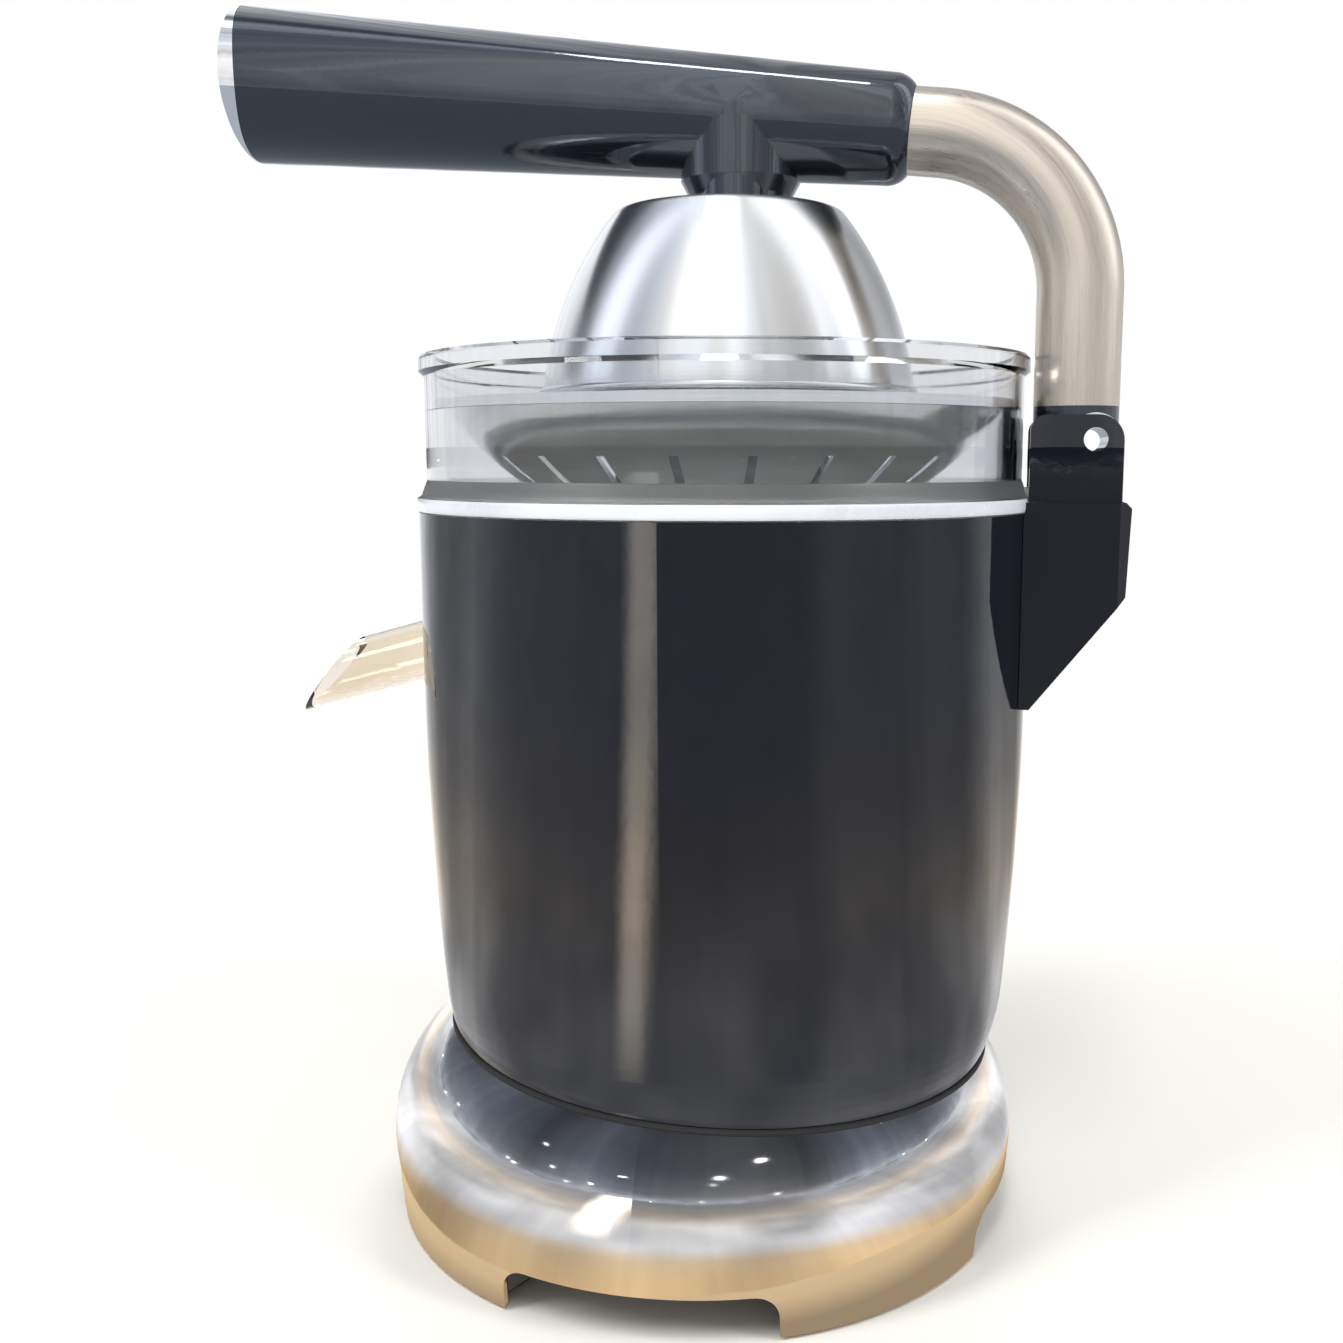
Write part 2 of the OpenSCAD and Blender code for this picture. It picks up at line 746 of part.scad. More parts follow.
module motor_bolts() {
    color("silver")
        around(4, motor_r - 4, 0)
            translate([0, 0, case_z]) screw(2, case_z - base_top_z + base_wall, 3.6, 1.8);
}

module motor_bushes() {
    color("peru")
        for (z = [base_top_z, case_z - 6])
            translate([0, 0, z]) ring(6 - press_fit, motor_shaft_r + run_fit, 6);
}

// The bracket's outline seen from the side, up to its flat top
module bracket_outline() {
    chamfer = 1.5;
    polygon([
        [body_r - 12, bracket_low_z],
        [body_r + 0.8, bracket_low_z],
        [bracket_rear_y - 0.9, bracket_knee_z],
        [bracket_rear_y, bracket_top_z - chamfer],
        [bracket_rear_y - chamfer, bracket_top_z],
        [body_r - 12, bracket_top_z]]);
}

module ear_outline() {
    rear_round = 6.5;
    front_round = 4;
    polygon(concat(
        [[ear_front_y, bracket_top_z - 2]],
        [[ear_rear_y, bracket_top_z - 2]],
        arc([ear_rear_y - rear_round, ear_top_z - rear_round], rear_round, 0, 90, 10),
        arc([ear_front_y + front_round, ear_top_z - front_round], front_round, 90, 180, 8)));
}

module rear_bracket() {
    bevel = 3;
    color("midnightblue")
        difference() {
            union() {
                intersection() {
                    side_plate(-bracket_half_w, bracket_half_w) bracket_outline();
                    translate([0, 0, bracket_low_z - through])
                        linear_extrude(bracket_top_z)
                            polygon([
                                [-bracket_half_w, 0], [bracket_half_w, 0],
                                [bracket_half_w, bracket_rear_y - bevel],
                                [bracket_half_w - bevel, bracket_rear_y],
                                [-bracket_half_w + bevel, bracket_rear_y],
                                [-bracket_half_w, bracket_rear_y - bevel]]);
                }
                side_plate(ear_gap, ear_gap + ear_t) ear_outline();
                side_plate(-ear_gap - ear_t, -ear_gap) ear_outline();
                translate([-ear_gap - through, web_y, bracket_top_z - through])
                    cube([2 * (ear_gap + through), ear_rear_y - web_y, web_top_z - bracket_top_z + through]);
            }
            rotate_extrude()
                polygon(concat([[0, body_low_z]], body_side(gap / 2),
                               [[flange_r + gap, body_top_z], [flange_r + gap, body_top_z + flange_h + gap],
                                [lip_r + gap / 2, body_top_z + flange_h + 4], [lip_r + gap / 2, hinge_z + 30],
                                [0, hinge_z + 30]]));
            translate([-9, 0, body_top_z - 1]) cube([18, tab_y + gap, 20]);
            translate([0, hinge_y, hinge_z]) cross_bar(pin_r + press_fit, bracket_half_w + through);
            bracket_screw_holes(2 + press_fit);
        }
}

module bracket_screws() {
    color("silver")
        for (z = [bracket_knee_z - bracket_screw_off, bracket_knee_z + bracket_screw_off])
            translate([0, body_radius(z) - body_wall - gap, z])
                rotate([90, 0, 0]) screw(2, body_wall + 12, 4, 2);
}

module hinge_pin() {
    half = ear_gap + ear_t;
    color("silver")
        translate([0, hinge_y, hinge_z]) difference() {
            cross_bar(pin_r, half);
            cross_bar(pin_bore_r, half + through);
        }
}

// Half section of the clear bowl: a ledge for the strainer, and a socket under the flange for the collector
module bowl_section() {
    step_z = body_top_z + 2.2;
    ledge_r = strainer_rim_r - 2.5;
    register_r = body_r - body_wall - gap;
    socket_r = drum_r + press_fit;
    socket_z = body_top_z - 5;
    polygon([
        [lip_r - 0.6, bowl_top_z], [lip_r, bowl_top_z - 0.8], [lip_r, bowl_top_z - lip_h],
        [bowl_r, bowl_top_z - lip_h - 1.2], [bowl_r, body_top_z + flange_h + 4],
        [flange_r - 0.8, body_top_z + flange_h], [flange_r, body_top_z + flange_h - 0.6],
        [flange_r, body_top_z], [register_r, body_top_z], [register_r, socket_z], [socket_r, socket_z],
        [socket_r, body_top_z], [drum_in_r, body_top_z], [drum_in_r, step_z], [ledge_r, step_z + 2],
        [ledge_r, strainer_z], [bowl_in_r, strainer_z], [bowl_in_r, bowl_top_z]]);
}

module juice_bowl() {
    color("lightcyan", 0.5) {
        rotate_extrude() bowl_section();
        intersection() {
            translate([-7, bowl_r - 1, body_top_z + 1]) cube([14, tab_y - bowl_r + 1, flange_h + 1]);
            translate([0, 0, body_top_z]) ring(tab_y, bowl_r - 1, flange_h + 4);
        }
    }
}

// Half section of the collector: a drum with a floor and a chimney for the shaft
module collector_section() {
    rim_z = body_top_z - gap;
    polygon([
        [drum_r, rim_z], [drum_r, floor_z], [chimney_in_r, floor_z], [chimney_in_r, chimney_top_z],
        [chimney_r, chimney_top_z], [chimney_r, floor_top_z], [drum_in_r, floor_top_z], [drum_in_r, rim_z]]);
}

module juice_collector() {
    color("ivory")
        difference() {
            union() {
                rotate_extrude() collector_section();
                on_spout() intersection() {
                    translate([0, 0, -4]) cylinder(r = spout_r, h = stub_len + 4, $fn = 64);
                    translate([-spout_r, -spout_r, -1.2 - spout_r * tan(spout_slope)])
                        cube([2 * spout_r, 2 * spout_r, 3 * spout_r]);
                }
            }
            on_spout() translate([0, 0, -14]) cylinder(r = spout_r - spout_wall, h = 30, $fn = 64);
        }
}

module spout() {
    cut = 50;
    color("lightcyan", 0.5)
        difference() {
            on_spout() translate([0, 0, spout_start]) ring(spout_r, spout_r - spout_wall, spout_len + 6);
            on_spout()
                translate([0, -spout_r, spout_len + 6.5]) rotate([-55 + spout_slope - 15.3, 0, 0])
                    translate([-cut / 2, -cut / 2, 0]) cube([cut, 2 * cut, cut]);
        }
}

module spout_seal() {
    color("black")
        on_spout() translate([0, 0, stub_len]) ring(spout_r, spout_r - spout_wall, seal_t);
}

module shaft_seal() {
    color("black")
        translate([0, 0, chimney_top_z - 7]) ring(chimney_in_r - press_fit, shaft_r + 0.1, 6);
}

// A point on the curved side of the strainer's dish, from 0 at the rim to 1 where the floor begins
function dish_point(t, up) = [
    strainer_edge_r + (strainer_dish_r - strainer_edge_r) * t,
    strainer_z + (strainer_dish_z - strainer_z) * t - 4 * strainer_sag * t * (1 - t) + up];

// Side and floor of the strainer's dish, lifted by an amount
function strainer_side(up, n = 10) = concat(
    [for (i = [0:n]) dish_point(i / n, up)],
    [[strainer_flat_r, strainer_flat_z + up], [chimney_r + gap, strainer_flat_z + up]]);

module strainer() {
    slot_in = strainer_flat_r + 4;
    slot_out = strainer_rim_r - 14;
    below = strainer_side(0);
    above = strainer_side(strainer_t * 1.25);
    color("dimgray")
        difference() {
            union() {
                rotate_extrude()
                    polygon(concat(below, [for (i = [len(above) - 1:-1:0]) above[i]]));
                translate([0, 0, strainer_z]) ring(strainer_rim_r, strainer_rim_r - 4, strainer_rim_h);
            }
            around(slot_count, slot_in)
                translate([0, -slot_w / 2, strainer_flat_z - through])
                    cube([slot_out - slot_in, slot_w, strainer_z - strainer_flat_z + 2 * through]);
        }
}

module return_spring() {
    wire = 0.7;
    turns = 6;
    free_h = sleeve_top_z - sleeve_flange_t - deck_top_z - 2 * gap - 2 * wire;
    color("silver")
        translate([0, 0, deck_top_z + gap + wire])
            helix_wire(sleeve_r + 1.7, free_h / turns, wire, turns, 20);
}

module press_sleeve() {
    color("ivory")
        difference() {
            union() {
                translate([0, 0, finger_z]) cylinder(r = sleeve_r, h = sleeve_top_z - finger_z);
                translate([0, 0, sleeve_top_z - sleeve_flange_t])
                    cylinder(r = sleeve_flange_r, h = sleeve_flange_t);
            }
            translate([0, 0, finger_z - through])
                cylinder(r = shaft_r + run_fit, h = sleeve_top_z - finger_z + 2 * through);
        }
}

module switch_finger() {
    color("ivory")
        difference() {
            union() {
                translate([0, 0, finger_z]) cylinder(r = sleeve_r + 4, h = finger_t);
                translate([switch_x - 3, -4, finger_z]) cube([-switch_x + 3, 8, finger_t]);
            }
            translate([0, 0, finger_z - through])
                cylinder(r = sleeve_r + press_fit, h = finger_t + 2 * through);
        }
}

module drive_shaft() {
    color("silver")
        difference() {
            union() {
                translate([0, 0, shaft_z]) cylinder(r = shaft_r, h = shaft_top_z - shaft_z);
                translate([0, 0, sleeve_top_z + run_fit]) cylinder(r = shaft_r + 2.2, h = collar_t);
            }
            translate([0, 0, drive_pin_z]) cross_bar(drive_pin_r + press_fit, shaft_r + through);
        }
}

module output_gear() {
    color("ivory")
        translate([0, 0, output_z]) difference() {
            union() {
                rotate([0, 0, 180 / wheel_teeth]) linear_extrude(gear_w) polygon(gear_outline(wheel_teeth));
                cylinder(r = shaft_r + 4, h = gear_w + 2);
            }
            translate([0, 0, -through]) cylinder(r = shaft_r + press_fit, h = gear_w + 4);
        }
}

module shaft_clip() {
    color("silver")
        translate([0, 0, finger_z - 1.2 - gap]) ring(shaft_r + 2.5, shaft_r + press_fit, 1.2);
}

// Height of one step of the reamer's side, above its foot disc
function reamer_step(i, steps) = reamer_h * i / steps;

module reamer() {
    steps = 14;
    rib_steps = 12;
    rib_out = 2.4;
    rib_root = 1.5;
    rib_t = 2.6;
    core = [for (i = [0:steps]) let (h = reamer_step(i, steps)) [reamer_radius(h), reamer_foot_t + h]];
    rib_edge = [for (i = [0:rib_steps]) core[i] + [rib_out * (1 - 0.5 * i / steps), 0]];
    rib_back = [for (i = [rib_steps:-1:0]) core[i] - [rib_root, 0]];
    color("whitesmoke")
        translate([0, 0, reamer_z]) difference() {
            union() {
                cylinder(r = reamer_r + 2, h = reamer_foot_t);
                rotate_extrude()
                    polygon(concat([[0, reamer_foot_t - 0.5], [reamer_radius(0), reamer_foot_t - 0.5]], core,
                                   [[0, reamer_foot_t + reamer_h]]));
                around(rib_count, 0)
                    translate([0, rib_t / 2, -0.2]) rotate([90, 0, 0])
                        linear_extrude(rib_t) polygon(concat(rib_edge, rib_back));
                translate([0, 0, -5.1]) ring(skirt_top_r, chimney_r + 0.8, 5.3);
            }
            translate([0, 0, -through]) cylinder(r = shaft_r + press_fit, h = shaft_top_z - reamer_z + 1.3);
            translate([0, 0, drive_pin_z - reamer_z]) cross_bar(drive_pin_r + gap / 2, drive_pin_half + gap);
        }
}

module drive_pin() {
    color("silver")
        translate([0, 0, drive_pin_z]) cross_bar(drive_pin_r, drive_pin_half);
}

module idler_gear() {
    small_h = output_z + gear_w + 3 - wheel_z;
    color("ivory")
        translate([idler_x, 0, wheel_z]) difference() {
            union() {
                rotate([0, 0, 180 / wheel_teeth]) linear_extrude(gear_w) polygon(gear_outline(wheel_teeth));
                linear_extrude(small_h) polygon(gear_outline(pinion_teeth));
            }
            translate([0, 0, -through]) cylinder(r = axle_r + run_fit, h = small_h + 2 * through, $fn = 48);
        }
}

module rotor_core() {
    color("gray")
        translate([0, 0, stack_z]) ring(rotor_r, motor_shaft_r + press_fit, stack_h);
}

module motor_shaft() {
    color("silver")
        translate([0, 0, base_top_z - 1])
            cylinder(r = motor_shaft_r, h = pinion_z + gear_w + 1 - base_top_z + 1, $fn = 48);
}

module motor_pinion() {
    color("goldenrod")
        translate([0, 0, pinion_z]) difference() {
            linear_extrude(gear_w + 1) polygon(gear_outline(pinion_teeth));
            translate([0, 0, -through])
                cylinder(r = motor_shaft_r + press_fit, h = gear_w + 4, $fn = 48);
        }
}

module arm_tube() {
    run = (arm_y - bend_r * (1 - sin(grip_tilt)) - grip_y) / cos(grip_tilt) + grip_socket - gap;
    color("silver")
        difference() {
            union() {
                translate([0, arm_y, arm_foot_z]) ring(arm_r, arm_r - arm_wall, bend_z - arm_foot_z);
                on_bend() rotate([0, 0, -bend_lap]) rotate_extrude(angle = bend_angle + 2 * bend_lap)
                    translate([bend_r, 0]) difference() {
                        circle(arm_r);
                        circle(arm_r - arm_wall);
                    }
                on_bend() rotate([0, 0, bend_angle]) translate([bend_r, 0, 0]) rotate([-90, 0, 0])
                    ring(arm_r, arm_r - arm_wall, run);
            }
            translate([0, arm_y, rivet_z]) rotate([0, 0, 90]) cross_bar(rivet_r + press_fit, arm_r + through);
        }
}

module hinge_knuckle() {
    color("midnightblue")
        difference() {
            union() {
                translate([0, hinge_y, hinge_z]) cross_bar(knuckle_r, knuckle_half_w);
                translate([0, arm_y, hinge_z]) cylinder(r = knuckle_half_w, h = arm_foot_z - hinge_z);
                translate([0, arm_y, arm_foot_z - 1]) cylinder(r = spigot_r, h = spigot_len + 1);
                translate([-knuckle_half_w, hinge_y - 6, heel_low_z])
                    cube([2 * knuckle_half_w, web_y - gap - hinge_y + 6, hinge_z - heel_low_z]);
            }
            translate([0, hinge_y, hinge_z]) cross_bar(bush_r + press_fit, knuckle_half_w + through);
            translate([0, arm_y, rivet_z]) rotate([0, 0, 90]) cross_bar(rivet_r + press_fit, arm_r + through);
        }
}

module hinge_bushes() {
    color("ivory")
        translate([0, hinge_y, hinge_z]) for (side = [0, 180])
            rotate([0, 0, side]) rotate([0, 90, 0]) translate([0, 0, 1]) difference() {
                union() {
                    cylinder(r = bush_r, h = knuckle_half_w - 1);
                    translate([0, 0, knuckle_half_w - 1]) cylinder(r = bush_flange_r, h = bush_flange_t);
                }
                translate([0, 0, -through]) cylinder(r = pin_r + run_fit, h = knuckle_half_w + 4);
            }
}

module knuckle_rivet() {
    color("silver")
        translate([0, arm_y, rivet_z]) rotate([0, 0, 90]) cross_bar(rivet_r, arm_r - 0.2);
}

// The grip's outer form, longer than the grip, with its rear end rounded
module grip_form(grow) {
    long = grip_len + 40;
    rotate_extrude()
        polygon(concat(
            [[0, -grow]],
            arc([grip_rear_r - grip_round, grip_round], grip_round + grow, -90, 0, 16),
            [[grip_rear_r + grip_slope * long + grow, long], [0, long]]));
}

// What lies beyond the slanted, curved seam of the end cap, from a distance past it
module beyond_seam(from) {
    size = 120;
    translate([0, 0, grip_len]) rotate([seam_slant, 0, 0])
        difference() {
            translate([-size / 2, -size / 2, from - 1.5 * seam_sag]) cube(size);
            translate([0, 0, from - seam_r]) rotate([90, 0, 0])
                cylinder(r = seam_r, h = 2 * size, center = true);
        }
}

// The neck moulded under the grip: a flared stem on the dome, and a post that fades into the grip's sides
module neck_form() {
    post_x = neck_post_out - neck_post_r;
    post_h = neck_axis_z - dome_top_z;
    stem_h = post_h - 2;
    translate([0, neck_back, dome_top_z]) {
        rotate_extrude()
            polygon([
                [0, 0], [neck_r, 0], [neck_r, neck_foot_h], [neck_r + neck_flare, neck_flare_h],
                [neck_r + neck_flare, stem_h], [0, stem_h]]);
        for (x = [-post_x, post_x])
            translate([x, 0, through]) cylinder(r = neck_post_r, h = post_h);
        translate([-post_x, -neck_post_r, through]) cube([2 * post_x, 2 * neck_post_r, post_h]);
    }
}

module handle_grip() {
    color("midnightblue")
        difference() {
            union() {
                on_grip() difference() {
                    grip_form(0);
                    beyond_seam(0);
                }
                neck_form();
            }
            on_grip() {
                translate([0, 0, -through]) cylinder(r = arm_r + press_fit, h = grip_socket + through);
                translate([0, 0, grip_len - cap_plug_len - gap]) cylinder(r = cap_plug_r + press_fit, h = 40);
            }
            translate([0, neck_back, dome_top_z - through])
                cylinder(r = neck_bush_r + press_fit, h = neck_bush_len + gap + through, $fn = 64);
            translate([0, neck_back, dome_top_z])
                cylinder(r = dome_screw_r + gap, h = dome_screw_len, $fn = 32);
        }
}

module handle_end_cap() {
    cap_sphere_r = (pow(grip_front_r, 2) + pow(cap_bulge, 2)) / (2 * cap_bulge);
    color("gainsboro")
        on_grip() {
            intersection() {
                grip_form(0);
                beyond_seam(gap / 2);
                translate([0, 0, grip_len]) rotate([seam_slant, 0, 0])
                    translate([0, 0, cap_bulge + cap_rim - cap_sphere_r]) sphere(r = cap_sphere_r);
            }
            translate([0, 0, grip_len - cap_plug_len]) cylinder(r = cap_plug_r, h = cap_plug_len + 4);
        }
}

module neck_bush() {
    color("silver")
        translate([0, neck_back, dome_top_z]) ring(neck_bush_r, dome_screw_r + press_fit, neck_bush_len);
}

module press_dome() {
    bead = 0.6;
    color("silver")
        difference() {
            union() {
                translate([0, dome_back, dome_z]) rotate_extrude()
                    polygon(concat([[0, 0]], dome_profile(0, 40), [[0, dome_h]]));
                translate([0, dome_back, dome_z]) cylinder(r = dome_r + bead, h = 2);
            }
            translate([0, dome_back, dome_z - through]) cylinder(r = dome_r - dome_wall, h = through + 0.1);
            translate([0, dome_back, dome_z]) rotate_extrude()
                polygon(concat([[0, 0]], dome_profile(dome_wall, 18), [[0, dome_h - dome_wall]]));
            translate([0, neck_back, dome_z])
                cylinder(r = dome_screw_r + gap, h = dome_h + through, $fn = 32);
        }
}

module dome_screw() {
    color("silver")
        translate([0, neck_back, dome_top_z - dome_wall]) mirror([0, 0, 1])
            screw(dome_screw_r, dome_screw_len - dome_wall, 4.5, 3);
}

base_shell();
base_plate();
foot_pads();
base_screws();
cord_grommet();
terminal_block();
body_shell();
motor_deck();
deck_screws();
gear_case();
case_screws();
micro_switch();
idler_axle();
motor_stator();
motor_windings();
motor_lower_bell();
motor_upper_bell();
motor_bolts();
motor_bushes();
rear_bracket();
bracket_screws();
hinge_pin();
juice_bowl();
juice_collector();
spout();
spout_seal();
shaft_seal();
strainer();
return_spring();
press_sleeve();
switch_finger();
drive_shaft();
output_gear();
shaft_clip();
reamer();
drive_pin();
idler_gear();
rotor_core();
motor_shaft();
motor_pinion();
arm_tube();
hinge_knuckle();
hinge_bushes();
knuckle_rivet();
handle_grip();
handle_end_cap();
neck_bush();
press_dome();
dome_screw();
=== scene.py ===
# %% [markdown]
# A lever-press citrus juicer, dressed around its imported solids. The solids already hold the true shapes,
# so this lesson gives them their finishes, adds the small trim that a maker fits last, and sets the
# studio and the camera.

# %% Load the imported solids
import json
import math

import bpy
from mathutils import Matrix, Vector


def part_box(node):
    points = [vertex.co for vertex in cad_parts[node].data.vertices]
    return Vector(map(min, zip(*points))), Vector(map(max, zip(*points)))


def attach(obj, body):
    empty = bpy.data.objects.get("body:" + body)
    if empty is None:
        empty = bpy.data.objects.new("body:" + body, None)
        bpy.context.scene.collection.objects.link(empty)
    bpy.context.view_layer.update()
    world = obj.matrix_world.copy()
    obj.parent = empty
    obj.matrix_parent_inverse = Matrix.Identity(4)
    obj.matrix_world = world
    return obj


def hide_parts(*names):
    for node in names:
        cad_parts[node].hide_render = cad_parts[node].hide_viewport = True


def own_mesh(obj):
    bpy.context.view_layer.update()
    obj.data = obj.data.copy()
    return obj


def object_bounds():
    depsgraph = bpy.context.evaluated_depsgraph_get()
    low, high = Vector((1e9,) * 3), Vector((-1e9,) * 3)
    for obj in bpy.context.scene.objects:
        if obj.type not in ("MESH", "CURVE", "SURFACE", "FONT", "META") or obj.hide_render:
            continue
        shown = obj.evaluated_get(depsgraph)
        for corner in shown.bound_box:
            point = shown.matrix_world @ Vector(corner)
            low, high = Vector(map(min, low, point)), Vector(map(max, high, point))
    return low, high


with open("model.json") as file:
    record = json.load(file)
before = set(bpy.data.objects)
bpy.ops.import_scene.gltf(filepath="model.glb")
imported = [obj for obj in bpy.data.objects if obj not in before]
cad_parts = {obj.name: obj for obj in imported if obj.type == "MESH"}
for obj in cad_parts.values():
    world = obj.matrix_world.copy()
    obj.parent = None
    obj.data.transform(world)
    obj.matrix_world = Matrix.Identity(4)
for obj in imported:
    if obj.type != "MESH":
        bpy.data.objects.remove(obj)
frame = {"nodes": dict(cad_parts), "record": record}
cad_low, cad_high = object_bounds()
nodes = frame["nodes"]
print("solids loaded:", len(nodes), "height in mm:", round((cad_high.z - cad_low.z) * 1000, 1))

# %% [markdown]
# The photograph was taken close up, from slightly above the bowl and from the side, with the hinge a
# little nearer than the spout. A camera could be placed by eye, but a close view bends the proportions
# strongly, so its place, its tilt and its off-centre frame are the ones that fit the object's outlines.

# %% Camera
PHOTO_PX = 1343
FOCAL_PX = 1450
AXIS_PX = 724.4
SENSOR_MM = 36
CAMERA_DISTANCE = 0.4025
CAMERA_HEIGHT = 0.2083
CAMERA_TURN = math.radians(10.5)
CAMERA_PITCH = math.radians(8.31)

bpy.ops.object.select_all(action="DESELECT")
bpy.ops.object.camera_add()
camera = bpy.context.object
camera.name = "photo_camera"
camera.location = (CAMERA_DISTANCE * math.cos(CAMERA_TURN), CAMERA_DISTANCE * math.sin(CAMERA_TURN),
                   CAMERA_HEIGHT)
look = Vector((-math.cos(CAMERA_TURN) * math.cos(CAMERA_PITCH),
               -math.sin(CAMERA_TURN) * math.cos(CAMERA_PITCH),
               -math.sin(CAMERA_PITCH)))
camera.rotation_euler = look.to_track_quat("-Z", "Y").to_euler()
camera.data.sensor_width = SENSOR_MM
camera.data.lens = SENSOR_MM * FOCAL_PX / PHOTO_PX
camera.data.shift_x = (PHOTO_PX / 2 - AXIS_PX) / PHOTO_PX
camera.data.clip_start = 0.01
bpy.context.scene.camera = camera
bpy.context.scene.view_settings.view_transform = "Standard"
print("camera at", [round(v, 4) for v in camera.location], "lens", round(camera.data.lens, 2))

# %% [markdown]
# Finishes are node materials. A few effects come back in many of them, such as the uneven gloss of a
# handled surface, brushing, and the grain of a mould. Each is a node group, made once and placed with its
# own values. Adding nodes by hand in the editor would do, but a few helpers keep each finish short.


# %% Helpers for node trees
def add_node(tree, kind, inputs=(), **settings):
    """Adds a node, sets its properties, and links or fills its inputs by name or number."""
    node = tree.nodes.new(kind)
    for key, value in settings.items():
        setattr(node, key, value)
    for key, value in dict(inputs).items():
        socket = node.inputs[key]
        if isinstance(value, bpy.types.NodeSocket):
            tree.links.new(value, socket)
        else:
            socket.default_value = value
    return node


def start_group(name, inputs, outputs):
    """A shader node group with named inputs and outputs, and the nodes at its two ends."""
    group = bpy.data.node_groups.new(name, "ShaderNodeTree")
    for label, kind, value in inputs:
        socket = group.interface.new_socket(label, in_out="INPUT", socket_type=kind)
        if value is not None:
            socket.default_value = value
    for label, kind in outputs:
        group.interface.new_socket(label, in_out="OUTPUT", socket_type=kind)
    return group, group.nodes.new("NodeGroupInput").outputs, group.nodes.new("NodeGroupOutput").inputs


def place_group(tree, group, inputs):
    """Places a node group in a material's tree and returns its outputs."""
    return add_node(tree, "ShaderNodeGroup", inputs, node_tree=group).outputs


def math_node(tree, operation, a, b=0.0):
    """One sum, product or other operation on two values."""
    return add_node(tree, "ShaderNodeMath", {0: a, 1: b}, operation=operation).outputs[0]


def span_node(tree, value, low, high, to_low=0.0, to_high=1.0, **settings):
    """A value between low and high, carried over to another span and held inside it."""
    span = {"Value": value, "From Min": low, "From Max": high, "To Min": to_low, "To Max": to_high}
    return add_node(tree, "ShaderNodeMapRange", span, **settings).outputs["Result"]


def noise_node(tree, vector, scale, detail, **more):
    """Noise on coordinates, with its scale, its detail and what else is set."""
    given_values = {"Vector": vector, "Scale": scale, "Detail": detail, **more}
    return add_node(tree, "ShaderNodeTexNoise", given_values).outputs["Fac"]


def split_node(tree, vector):
    """The three parts of a vector."""
    return add_node(tree, "ShaderNodeSeparateXYZ", {0: vector}).outputs


def length_node(tree, vector):
    """The length of a vector."""
    return add_node(tree, "ShaderNodeVectorMath", {0: vector}, operation="LENGTH").outputs["Value"]


def colour_mix(tree, factor, a, b):
    """A colour between two others, each one written out or taken from a node."""
    mix = add_node(tree, "ShaderNodeMix", {"Factor": factor, "A": a, "B": b}, data_type="RGBA")
    return mix.outputs["Result"]


# %% [markdown]
# Uneven gloss: fingers and wiping leave broad, soft patches on every polished surface, and fine haze
# between them. A painted mask could show them, but two sizes of noise, one coarse and one fine, fit any
# shape. They move the roughness between a low and a high value.

# %% Group: uneven gloss
FINE_TO_COARSE = 14.0
gloss_group, given, made = start_group(
    "uneven_gloss",
    [("Vector", "NodeSocketVector", None), ("Patch Size", "NodeSocketFloat", 40.0),
     ("Smooth", "NodeSocketFloat", 0.03), ("Hazy", "NodeSocketFloat", 0.1)],
    [("Roughness", "NodeSocketFloat"), ("Patch", "NodeSocketFloat")])
coarse = noise_node(gloss_group, given["Vector"], given["Patch Size"], 3.0, Distortion=0.6)
fine_scale = math_node(gloss_group, "MULTIPLY", given["Patch Size"], FINE_TO_COARSE)
fine = noise_node(gloss_group, given["Vector"], fine_scale, 2.0)
patch = span_node(gloss_group, coarse, 0.42, 0.68, interpolation_type="SMOOTHSTEP")
speckle = math_node(gloss_group, "ADD", math_node(gloss_group, "MULTIPLY", fine, 0.8), 0.3)
haze = math_node(gloss_group, "MULTIPLY", patch, speckle)
roughness = span_node(gloss_group, haze, 0.0, 1.0, given["Smooth"], given["Hazy"])
gloss_group.links.new(roughness, made["Roughness"])
gloss_group.links.new(haze, made["Patch"])
print("group", gloss_group.name, "nodes", len(gloss_group.nodes))

# %% [markdown]
# Brushing: an abrasive belt leaves fine parallel lines. The material hands over a vector that is stretched
# across the lines, so one group serves the turned dome, the drawn tube and the turned screws.

# %% Group: brushed lines
HAIR_TO_BROAD, HAIR_SHARE = 5.0, 0.45
brush_group, given, made = start_group(
    "brushed_lines", [("Vector", "NodeSocketVector", None)],
    [("Streak", "NodeSocketFloat"), ("Height", "NodeSocketFloat")])
broad = noise_node(brush_group, given["Vector"], 1.0, 4.0, Roughness=0.65)
hair = noise_node(brush_group, given["Vector"], HAIR_TO_BROAD, 2.0)
both = add_node(brush_group, "ShaderNodeMix", {"Factor": HAIR_SHARE, "A": broad, "B": hair}).outputs[0]
brush_group.links.new(span_node(brush_group, both, 0.33, 0.67), made["Streak"])
brush_group.links.new(both, made["Height"])
print("group", brush_group.name, "nodes", len(brush_group.nodes))

# %% [markdown]
# Mould grain: plastic and rubber copy the fine pitted skin of their mould, and a cast part shows a coarser
# one. Cells of a Voronoi texture give the pits, and noise varies their depth and the tone.

